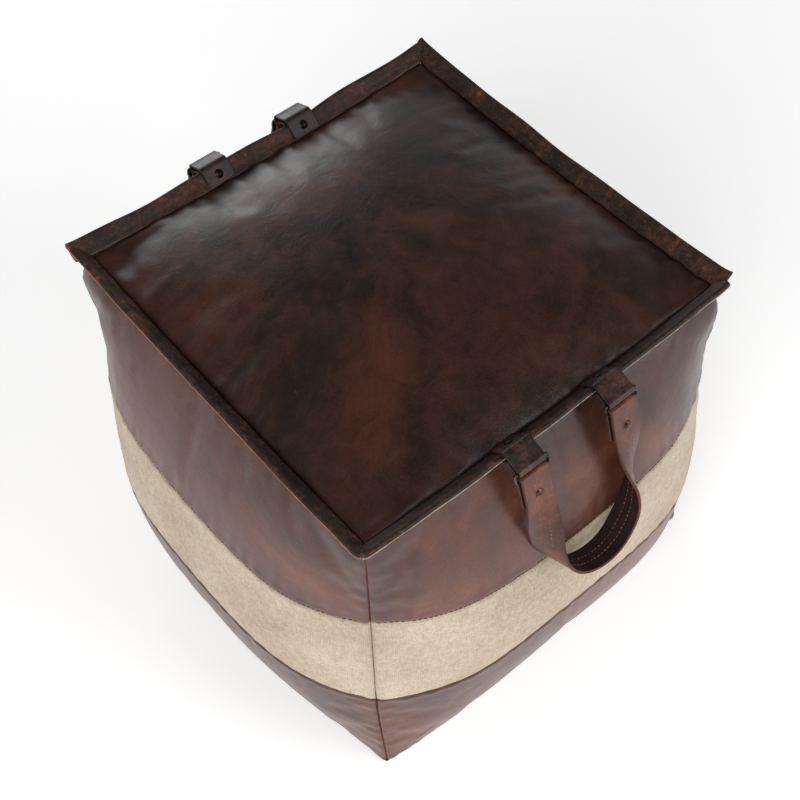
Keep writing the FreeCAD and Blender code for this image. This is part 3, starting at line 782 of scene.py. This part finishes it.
def make_cover():
    """Top, side panels, canvas bands and their seams."""
    sides, top = cover_grids()
    marks = (0, LEVELS[0], LEVELS[0] + LEVELS[1], UP_CELLS)
    kinds = (("lower_panel", SIDE_LEATHER, "leather", LOWER_HEIGHT, 1.0),
             ("canvas_band", CANVAS, "canvas", CANVAS_HEIGHT, 0.7),
             ("upper_panel", SIDE_LEATHER, "leather", UPPER_HEIGHT, 1.2))
    stitches = Piece()
    for side, k in SIDES.items():
        for n, (kind, material, slot, height, depth) in enumerate(kinds):
            piece = Piece()
            outer, inner, flat, seam = panel_part(sides[k], (marks[n], marks[n + 1]), ACROSS,
                                                  (SIDE_WIDTH, height), (True, True, True, n < 2), depth)
            add_skin(piece, outer, inner, flat + [k * 500.0, n * 200.0, 0], seam)
            if n == 2:
                piece.add(*seam_ply(side, -PLY - 0.1, -0.1), seam=1.0)
            piece.make(f"{kind}_{side}_skin", [material], "body", slot, [f"{kind}_{side}"], 1, 0.9)
        for n in (1, 2):
            line, out = seam_line(sides[k], marks[n], 0.4, ACROSS - 0.4, 4.6)
            dashes(stitches, line, out, 0.42, 1.0, 0.66, 0.5)
        upright = np.swapaxes(sides[k], 0, 1)
        for start, end in ((0.5, marks[1]), (marks[2], UP_CELLS - 0.4)):
            line, out = seam_line(upright, 0, start, end, 4.8)
            dashes(stitches, line, unit(line * [1, 1, 0]), 0.42, 1.3, 0.66, 0.5)
    stitches.make("cover_seam_stitches", [SEAM_THREAD], "body", "zip_tape")

    piece = Piece()
    add_skin(piece, *panel_part(top, (0, ACROSS), ACROSS, (TOP_WIDTH, TOP_WIDTH), (True,) * 4, 1.1,
                                22.0, 20.0, 0.0))
    for side in SIDES:
        piece.add(*seam_ply(side, 0.1, PLY + 0.1), seam=1.0)
    piece.make("top_panel_skin", [TOP_LEATHER], "body", "leather", ["top_panel"], 1, 0.9)


# ---- Bound seam round the top ----

STATIONS = 96
# Squared ends of the binding: which end of which side, and how far it reaches
EARS = {("back", 1): 216.5, ("right", -1): 208.5, ("front", 1): 203.5, ("right", 1): 216.0}
EAR_LIFT = 2.5             # how far those ends rise
NEAR_CUT = 0.28            # share of its width that the seam loses at the rounded near corner
CUT_EDGES = {"front": 1, "left": 2}    # sides whose binding shows its cut edge: 1 pale, 2 tan
LEDGE = 0.3                # how far that edge stands out
ROW = 6.5                  # stitch row, along the seam from its root
OUTER_STEPS = 11           # points along each outer face of the binding, and round its fold
INNER_STEPS = 6            # points along each inner face
OUTER_POINTS = 3 * OUTER_STEPS
LONG = np.linspace(-SEAM_HALF, SEAM_HALF, STATIONS)
WANDER = {side: ripple(LONG, 90.0) * 0.7 for side in SIDES}
SWELL = {side: ripple(LONG, 34.0) * 0.04 for side in SIDES}


def flange(side, profile):
    """Profile of (along, above) swept along a side's upstanding seam: station, point, xyz."""
    even = np.linspace(-1, 1, STATIONS)[:, None]
    u = np.sin(even * math.pi / 2) * 0.35 + even * 0.65
    along = np.array([p[0] for p in profile])[None]
    above = np.array([p[1] for p in profile])[None]
    along = along + WANDER[side][:, None] * (1 - u ** 8) * along / RIM
    above = above * (1 + SWELL[side][:, None])
    lift = np.zeros_like(u)
    out = SEAM_HALF + along * math.cos(TILT) - above * math.sin(TILT)
    x = u * out
    for (name, end), reach in EARS.items():
        if name == side:
            near = np.clip(u * end, 0, 1)
            x = np.where(u * end > 0, u * (out + (reach - out) * near ** 12), x)
            lift = lift + EAR_LIFT * near ** 24
    if side in ("front", "left"):
        near = np.clip(-u if side == "front" else u, 0, 1) ** 60
        cut = NEAR_CUT * along * math.cos(TILT) * near
        out = out - cut
        x = x - np.sign(u) * cut
    z = root_height(u) + along * math.sin(TILT) + above * math.cos(TILT) + lift
    return turn(np.stack([x, -out + 0 * x, z + 0 * x], -1), SIDES[side])


def seam_ply(side, low, high):
    """One leather layer inside the bound seam, as points and faces."""
    strip = Piece()
    ends = (-1.0, RIM + 0.4)
    profile = [(a, low) for a in np.linspace(*ends, 9)] + [(a, high) for a in np.linspace(*ends[::-1], 9)]
    sweep(strip, flange(side, profile)[:, ::-1])
    return np.concatenate(strip.points), np.concatenate(strip.faces)


def binding_profile(cut):
    """Outline of the folded strip, and the finish of each step of it.

    cut is the finish of the fold's cut edge, or 0 where no cut edge shows.
    """
    outer = [(a, FOLD - 0.35 * math.exp(-((a - ROW) / 1.6) ** 2))
             for a in np.linspace(BINDING_ROOT, RIM, OUTER_STEPS)]
    inner = FOLD - BINDING
    points, marks = list(outer), [0] * OUTER_STEPS
    for step in range(1, OUTER_STEPS + 1):
        angle = math.pi / 2 - math.pi * step / (OUTER_STEPS + 1)
        mark = cut if angle < -0.5 else 0
        radius = FOLD + LEDGE if mark else FOLD
        points.append((RIM + radius * math.cos(angle), radius * math.sin(angle)))
        marks.append(mark)
    points += [(a, -n) for a, n in reversed(outer)]
    marks += [0] * (OUTER_STEPS - 1) + [2]
    points += [(a, -inner) for a in np.linspace(BINDING_ROOT, RIM, INNER_STEPS)]
    for step in range(1, INNER_STEPS):
        angle = -math.pi / 2 + math.pi * step / INNER_STEPS
        points.append((RIM + inner * math.cos(angle), inner * math.sin(angle)))
    points += [(a, inner) for a in np.linspace(RIM, BINDING_ROOT, INNER_STEPS)]
    marks += [0] * (len(points) - OUTER_POINTS - 1) + [2]
    return points, marks


def make_binding():
    """Leather strips folded over the top seam, and their stitches."""
    runs = {"binding_front_left": ("front", "left"), "binding_back": ("back",), "binding_right": ("right",)}
    stitches = Piece()
    for node, members in runs.items():
        piece = Piece()
        for side in members:
            profile, marks = binding_profile(CUT_EDGES.get(side, 0))
            sections = flange(side, profile)
            sweep(piece, sections, marks, capped=False)
            cap_binding(piece, *sections.shape[:2])
        piece.make(node + "_strip", [DARK_LEATHER, EDGE_PALE, EDGE_TAN], "body", "dark_leather", [node], 1)
    for side in SIDES:
        for n, place in ((1, FOLD - 0.3), (-1, -FOLD + 0.3)):
            row = flange(side, [(ROW, place), (ROW, place + n)])
            line, out = resample(row[:, 0], STITCH, row[:, 1] - row[:, 0])
            dashes(stitches, line[2:-2], out[2:-2], 0.36, 0.1, 0.7)
    stitches.make("binding_stitches", [DARK_THREAD], "body", "zip_tape")


def cap_binding(piece, stations, size):
    """Closes both ends of the binding swept last, between its outer and inner outlines."""
    steps = size - OUTER_POINTS - 1
    for at, mark in ((0, 0), (stations - 1, 2)):
        ring = piece.count + (at - stations) * size
        for i in range(steps):
            first, last = (round(k * (OUTER_POINTS - 1) / steps) for k in (i, i + 1))
            face = [ring + k for k in (*range(first, last + 1), size - 2 - i, size - 1 - i)]
            piece.faces.append(np.array([face if mark else face[::-1]]))
            piece.slots.append(np.array([mark]))


def resample(line, step, beside):
    """Points about step apart along a line, and the directions that go with them."""
    run = travel(line)
    at = np.linspace(0, run[-1], max(int(run[-1] / step), 2))
    return read_at(at, run, line), unit(read_at(at, run, beside))


# ---- Straps and tabs ----

def ribbon_section(width, thick, plies=1):
    """Outline of a flat strap with softened edges: points across and through, and edge marks."""
    half, n = width / 2, thick / 2
    r = min(0.55, n * 0.6)
    upper = [(half - 3.0, n), (half - 1.2, n - 0.02), (half - r, n), (half - 0.3 * r, n - 0.3 * r),
             (half, n - r)]
    middle = [(half, 0.3), (half - 0.35, 0.0), (half, -0.3)] if plies == 2 else [(half + 0.1, 0.0)]
    right = upper + middle + [(x, -y) for x, y in upper[::-1]]
    flats = [-half * k for k in (-0.66, -0.4, -0.133, 0.133, 0.4, 0.66)]
    points = right + [(x, -n) for x in flats]
    points += [(-x, -y) for x, y in points]
    edge = [0] * len(points)
    count = len(right)
    for i in range(3, count - 4):
        edge[i] = 2
        edge[count + len(flats) + i] = 2
    for i in range(count - 3, count + len(flats) + 2):
        edge[i] = 1
    return np.array(points), np.array(edge)


def ribbon(piece, frames, section, marks, sway=0.15):
    """Sweeps a strap section through frames of (centre, width, face), swaying a little."""
    centre, width, face = (np.array([f[k] for f in frames]) for k in range(3))
    run = travel(centre)
    centre = centre + face * (ripple(run, 40.0) * sway)[:, None]
    over, through = section[None, :, :1], section[None, :, 1:]
    sections = centre[:, None] + over * width[:, None] + through * face[:, None]
    flat = np.concatenate(np.broadcast_arrays(over, run[:, None, None], through), -1)
    border = np.exp(-(section[:, 0].max() - np.abs(section[:, 0])) / 1.6)
    sweep(piece, sections[:, ::-1], np.roll(marks[::-1], -1), flat[:, ::-1],
          np.tile(border[::-1], len(frames)))
    return centre, width, face, run


def hang(points, pivot):
    """Points of a hanging handle leant outwards about the tab's bar."""
    turn_x = np.array(Matrix.Rotation(-LEAN, 3, "X"))
    return (np.asarray(points) - pivot) @ turn_x.T + pivot


def strap_frames():
    """Frames from the left tail over its ring, round the hanging U and over the right ring."""
    bar = np.array([0.0, -BAR_Y, BAR_Z - RING_DROP])
    reach = WIRE + FOLD_GAP + STRAP_PLY

    def end(x, across):
        frames = []
        for z in np.linspace(-TAIL, -2.0, 14):
            frames.append((bar + [x, reach, z], across, np.array([0, 1.0, 0])))
        for a in np.linspace(0, math.pi, 13):
            face = np.array([0, math.cos(a), math.sin(a)])
            frames.append((bar + [x, 0, 0] + reach * face, across, face))
        return frames

    frames = end(-TAB_X, np.array([1.0, 0, 0]))
    straight = STRAP_DROP - LOOP_DEPTH
    arc = math.pi / 2 * (TAB_X + LOOP_DEPTH) / 2
    for q in np.linspace(-1, 1, STRAP_STEPS)[1:-1]:
        run = abs(q) * (straight + arc)
        side = 1 if q > 0 else -1
        if run > arc:
            angle, drop = math.pi / 2, straight - (run - arc)
        else:
            angle = run / arc * math.pi / 2
            drop = straight + LOOP_DEPTH * math.cos(angle)
        tangent = unit(np.array([TAB_X * math.cos(angle), 0, side * LOOP_DEPTH * math.sin(angle)]))
        inward = np.array([-tangent[2], 0, tangent[0]])
        share = min(max((drop - TWIST_START) / TWIST_SPAN, 0.0), 1.0)
        twist = math.pi / 2 * share * share * (3 - 2 * share)
        outward = np.array([0, -1.0, 0])
        face = outward * math.cos(twist) - inward * math.sin(twist)
        across = outward * math.sin(twist) + inward * math.cos(twist)
        centre = bar + [side * TAB_X * math.sin(angle), -reach * (1 - share), -drop]
        frames.append((centre, across, face))
    return frames + end(TAB_X, np.array([-1.0, 0, 0]))[::-1]


def make_strap(side):
    """Doubled strap of one handle and its two rows of stitches."""
    quarter = SIDES[side]
    pivot = np.array([0.0, -BAR_Y, BAR_Z])
    section, marks = ribbon_section(STRAP_WIDTH, 2 * STRAP_PLY, 2)
    piece = Piece()
    centre, width, face, run = ribbon(piece, strap_frames(), section, marks)
    piece.points = [turn(hang(p, pivot), quarter) for p in piece.points]
    piece.make(f"strap_{side}_leather", [STRAP_FACE, STRAP_BACK, EDGE_RED], "handle_" + side,
               "strap_leather", [f"strap_{side}"], 1)
    stitches = Piece()
    for across in (-4.0, 4.0):
        for out in (1, -1):
            line = centre + width * across + face * (out * STRAP_PLY)
            at = np.arange(TAIL + 16.0, run[-1] - TAIL - 16.0, STITCH)
            dashes(stitches, read_at(at, run, line), read_at(at, run, face) * out, 0.4, 0.05, 0.7)
    stitches.points = [turn(hang(p, pivot), quarter) for p in stitches.points]
    stitches.make(f"strap_{side}_stitches", [STRAP_THREAD], "handle_" + side, "zip_tape")


def tab_path():
    """Line of a tab's middle in (out, up): over the seam, round the ring's bar and back under."""
    mid = 4.1

    def on_seam(along, above):
        return (SEAM_HALF + along * math.cos(TILT) - above * math.sin(TILT),
                ROOT_MIDDLE + along * math.sin(TILT) + above * math.cos(TILT))

    reach = WIRE + FOLD_GAP + TAB_PLY / 2
    knots = [on_seam(1.0, mid), on_seam(7.0, mid), on_seam(13.0, mid), on_seam(17.6, mid - 0.1),
             (213.6, 413.2), (216.6, 413.0), (221.5, 410.9), (227.0, 408.4)]
    for a in np.radians(np.linspace(100, -108, 14)):
        knots.append((BAR_Y + reach * math.cos(a), BAR_Z + reach * math.sin(a)))
    knots += [(226.4, 402.9), (222.4, 405.1), on_seam(20.4, -mid - 0.3), on_seam(17.5, -mid),
              on_seam(11.0, -mid), on_seam(5.5, -mid)]
    return np.array(knots)


def make_tab(side, name, x):
    """One tab that holds a ring to the seam."""
    knots = tab_path()
    run = travel(knots)
    line = read_at(np.linspace(0, run[-1], TAB_STEPS), run, knots)
    line[1:-1] = 0.25 * line[:-2] + 0.5 * line[1:-1] + 0.25 * line[2:]
    frames = []
    for (out, z), (run_out, run_z) in zip(line, unit(np.gradient(line, axis=0))):
        frames.append((np.array([x, -out, z]), np.array([1.0, 0, 0]), np.array([0, run_z, run_out])))
    section, marks = ribbon_section(STRAP_WIDTH, TAB_PLY)
    piece = Piece()
    ribbon(piece, frames, section, marks, 0.04)
    piece.points = [turn(p, SIDES[side]) for p in piece.points]
    piece.make(f"tab_{side}_{name}_leather", [TAB_LEATHER, STRAP_BACK, DARK_LEATHER], "body",
               "dark_leather", [f"tab_{side}_{name}"], 1)


def make_handles():
    """Tabs, straps and the metal of both handles."""
    for side in ("front", "back"):
        for name, x in (("left", -TAB_X), ("right", TAB_X)):
            make_tab(side, name, x)
        make_strap(side)
        dress("rings_" + side, RING_METAL)
        dress("tab_rivets_" + side, DARK_METAL)
        dress("strap_rivets_" + side, COPPER_METAL)


def dress(node, material):
    """Gives a model node that stays its own finish."""
    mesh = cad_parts[node].data
    mesh.materials.clear()
    mesh.materials.append(material)


# ---- Base, zip and inside ----

def make_base():
    """Two base panels that meet at the zip."""
    for side in ("front", "back"):
        over, at_u = places(2 * BASE_HALF, 2.0)
        down, at_v = places(BASE_HALF, 1.0)
        u, v = np.meshgrid(over - 1, down)
        width = BASE_HALF + BASE_BULGE * (1 - np.abs(v) ** BULGE_FLATNESS)
        x = u * width
        reach = ZIP_HALF + SLOT_END
        slot = 0.2 + (ZIP_SLOT - 0.2) / (1 + np.exp((np.abs(x) - reach) / 1.2))
        y = -(v * BASE_HALF + v ** 3 * BASE_BULGE * (1 - np.abs(u) ** BULGE_FLATNESS) + slot * (1 - v) ** 6)
        edge = np.minimum(np.minimum(at_u, 2 * BASE_HALF - at_u)[None], (BASE_HALF - at_v)[:, None])
        fold = np.maximum(slot - 1.0, 0) / ZIP_SLOT * np.exp(-at_v[:, None] / 1.5)
        dimple = 0.5 + 0.25 * ripple(x + 0.6 * y, 70.0) * np.clip(edge / 40.0, 0, 1)
        z = 0.25 + np.maximum(dimple, 0.0) * 0.6 + 1.4 * np.exp(-edge / 2.0) + 0.8 * fold
        grid = np.stack([x, y, z], -1)[::-1]
        outer = shoved(turn(grid[:, ::-1], SIDES[side]))
        piece = add_skin(Piece(), outer, outer + [0, 0, SKIN], outer, np.exp(-edge / 2.6)[::-1, ::-1])
        piece.make(f"base_{side}_skin", [BASE_LEATHER], "body", "leather", [f"base_panel_{side}"])


def make_zip():
    """Zip tapes with their stitches, and the two nylon coils."""
    tapes, coils, stitches = Piece(), Piece(), Piece()
    half = ZIP_HALF + TAPE_END
    for sign in (-1, 1):
        x = np.linspace(-half, half, 140)
        edge = ripple(x, 50.0) * 0.12
        across = [COIL_OUT, COIL_OUT + 0.6, 9.0, 13.0, COIL_OUT + TAPE_WIDTH]
        out = np.array(across + across[::-1])[None]
        up = np.repeat([0, TAPE], len(across))[None]
        points = np.stack(np.broadcast_arrays(x[:, None], sign * out,
                                              TAPE_Z + up + edge[:, None] * (out > 8)), -1)[:, ::sign]
        sweep(tapes, points, 0, points * [1, 1, 0])
        t = np.linspace(0, 2 * math.pi * COIL_TURNS, COIL_TURNS * 10 + 1)
        radius = (COIL_OUT - COIL_IN) / 2 - COIL_WIRE
        middle = (COIL_OUT + COIL_IN) / 2
        core = np.stack([-ZIP_HALF + 0.4 + t / t[-1] * (2 * ZIP_HALF - 0.8) + 0.25 * np.sin(2 * t),
                         sign * (middle + radius * np.cos(t)), COIL_MIDDLE + COIL_RISE * np.sin(t)], 1)
        tube(coils, core, COIL_WIRE, 5)
        along = np.arange(-half + 6, half - 6, 4.0)
        for row in TAPE_ROWS:
            beside = np.full_like(along, sign * (ZIP_SLOT + row))
            line = np.stack([along, beside, np.full_like(along, 0.55)], 1)
            dashes(stitches, line, np.tile([0, 0, -1.0], (len(line), 1)), 0.3, 0.0, 0.7)
    tapes.make("zip_tape_cloth", [TAPE_CLOTH], "body", "zip_tape", ["zip_tapes"])
    coils.make("zip_coils", [COIL], "body", "zip_coil", ["zip_chain"])
    stitches.make("zip_stitches", [SEAM_THREAD], "body", "zip_tape")
    for node in ("zip_stops", "zip_slider", "zip_pull"):
        dress(node, BRASS)


def tube(piece, core, radius, sides):
    """Adds a round wire along a line of points."""
    tangent = unit(np.gradient(core, axis=0))
    side = unit(np.cross(tangent, [1.0, 0.0, 0.0]))
    other = np.cross(tangent, side)
    angles = 2 * math.pi * np.arange(sides) / sides
    points = core[:, None] + radius * (side[:, None] * np.cos(angles)[None, :, None]
                                       + other[:, None] * np.sin(angles)[None, :, None])
    start = piece.count
    piece.add(points, grid_faces(len(core), sides, True))
    for at, flip in ((0, -1), (len(core) - 1, 1)):
        piece.faces.append((start + at * sides + np.arange(sides)[::flip])[None])
        piece.slots.append(np.array([0]))


def make_inside():
    """Cloth bag and the stuffing in it, as closed forms under the cover."""
    for name, node, inset, floor, material, slot, rough in (
            ("inner_bag_cloth", "inner_bag", 6.5, 6.2, LINING, "lining_cloth", 0.9),
            ("stuffing_fibres", "stuffing", 10.0, 8.6, FILL, "stuffing", 1.6)):
        across, up = 30, (8, 8, 7)
        side = side_surface(inset, across, up)
        top = top_surface(inset, across)
        side[..., 2] = floor + side[..., 2] * (side[-1:, :, 2] - inset - floor) / side[-1:, :, 2]
        top[0] = turn(side[-1], 0)
        top[:, -1] = turn(side[-1], 1)
        top[-1, ::-1] = turn(side[-1], 2)
        top[::-1, 0] = turn(side[-1], 3)
        bottom = np.zeros((across + 1, across + 1, 3))
        share = np.linspace(-1, 1, across + 1)
        low = side[0]
        bottom[..., 0] = share[None] * np.abs(low[0, 0])
        bottom[..., 1] = share[:, None] * np.abs(low[0, 0])
        bottom[..., 2] = floor
        bottom[0], bottom[:, -1] = turn(low, 0), turn(low, 1)
        bottom[-1, ::-1], bottom[::-1, 0] = turn(low, 2), turn(low, 3)
        piece = Piece()
        for k in range(4):
            lumps = side.copy()
            push = ripple(side[..., 0] * 0.7 + side[..., 2], 60.0)
            push = push * rough * np.clip(side[..., 2] / 60.0, 0, 1)
            push[:, [0, -1]] = 0
            push[[0, -1]] = 0
            lumps[..., 1] += np.minimum(push, 1.5)
            piece.add(turn(lumps, k), grid_faces(*side.shape[:2]))
        piece.add(top, grid_faces(*top.shape[:2]))
        piece.add(bottom[:, ::-1], grid_faces(*bottom.shape[:2]))
        obj = piece.make(name, [material], "body", slot, [node], 0, 0.9)
        weld(obj)


def weld(obj):
    """Joins points that lie on each other."""
    bm = bmesh.new()
    bm.from_mesh(obj.data)
    bmesh.ops.remove_doubles(bm, verts=bm.verts, dist=0.01 * MM)
    bm.to_mesh(obj.data)
    bm.free()


# ---- Room, light and camera ----

def make_room():
    """Pale floor and soft light from all round, brighter near the horizon."""
    mesh = bpy.data.meshes.new("floor")
    size = 12.0
    corners = [(-size, -size, 0), (size, -size, 0), (size, size, 0), (-size, size, 0)]
    mesh.from_pydata(corners, [], [(0, 1, 2, 3)])
    floor = bpy.data.objects.new("floor", mesh)
    bpy.context.scene.collection.objects.link(floor)
    f = Finish("floor_paint")
    pale = f.ramp(f.noise(3.0), [(0.3, (0.93, 0.93, 0.93)), (0.7, (0.96, 0.96, 0.96))])
    mesh.materials.append(f.done(pale, 0.8, Emission_Color=(1, 1, 1, 1), Emission_Strength=0.42))

    world = bpy.data.worlds.new("studio")
    bpy.context.scene.world = world
    world.use_nodes = True
    tree = world.node_tree
    tree.nodes.clear()
    place = tree.nodes.new("ShaderNodeTexCoord")
    parts = tree.nodes.new("ShaderNodeSeparateXYZ")
    ramp = tree.nodes.new("ShaderNodeValToRGB")
    light = tree.nodes.new("ShaderNodeBackground")
    out = tree.nodes.new("ShaderNodeOutputWorld")
    tree.links.new(place.outputs["Generated"], parts.inputs[0])
    tree.links.new(parts.outputs[2], ramp.inputs[0])
    tree.links.new(ramp.outputs[0], light.inputs[0])
    tree.links.new(light.outputs[0], out.inputs[0])
    bar = ramp.color_ramp.elements
    bar.new(0.5)
    bar.new(0.5)
    for element, (at, shade) in zip(bar, ((0.0, 1.0), (0.16, 0.85), (0.42, 0.16), (1.0, 0.12))):
        element.position = at
        element.color = (shade, shade, shade * 1.01, 1)
    light.inputs[1].default_value = 1.0

    lamps = (("key", (-2.6, -1.5, 2.3), 2.2, 66.0), ("fill", (1.5, -2.9, 2.0), 2.2, 44.0),
             ("back", (0.6, 3.4, 1.0), 2.4, 34.0))
    for name, place, size, power in lamps:
        lamp = bpy.data.lights.new(name, "AREA")
        lamp.shape = "DISK"
        lamp.size = size
        lamp.energy = power
        obj = bpy.data.objects.new(name, lamp)
        bpy.context.scene.collection.objects.link(obj)
        obj.location = place
        aim = Vector((0, 0, 0.25)) - Vector(place)
        obj.rotation_euler = aim.to_track_quat("-Z", "Y").to_euler()


def make_camera():
    """Camera at the photograph's angle."""
    azimuth, elevation, roll = (math.radians(a) for a in (-37.87, 54.87, -2.62))
    distance, target = 1.35282, Vector((0.00038, 0.00397, 0.19378))
    back = Vector((math.sin(azimuth) * math.cos(elevation), -math.cos(azimuth) * math.cos(elevation),
                   math.sin(elevation)))
    right = Vector((math.cos(azimuth), math.sin(azimuth), 0))
    up = back.cross(right)
    right, up = (right * math.cos(roll) + up * math.sin(roll), up * math.cos(roll) - right * math.sin(roll))
    data = bpy.data.cameras.new("camera")
    data.sensor_width = 36.0
    data.lens = 58.317
    camera = bpy.data.objects.new("camera", data)
    bpy.context.scene.collection.objects.link(camera)
    place = target + back * distance
    camera.matrix_world = Matrix(((right.x, up.x, back.x, place.x), (right.y, up.y, back.y, place.y),
                                  (right.z, up.z, back.z, place.z), (0, 0, 0, 1)))
    bpy.context.scene.camera = camera


make_camera()
make_room()
make_cover()
make_binding()
make_handles()
make_base()
make_zip()
make_inside()
bpy.context.scene.view_settings.view_transform = "Standard"
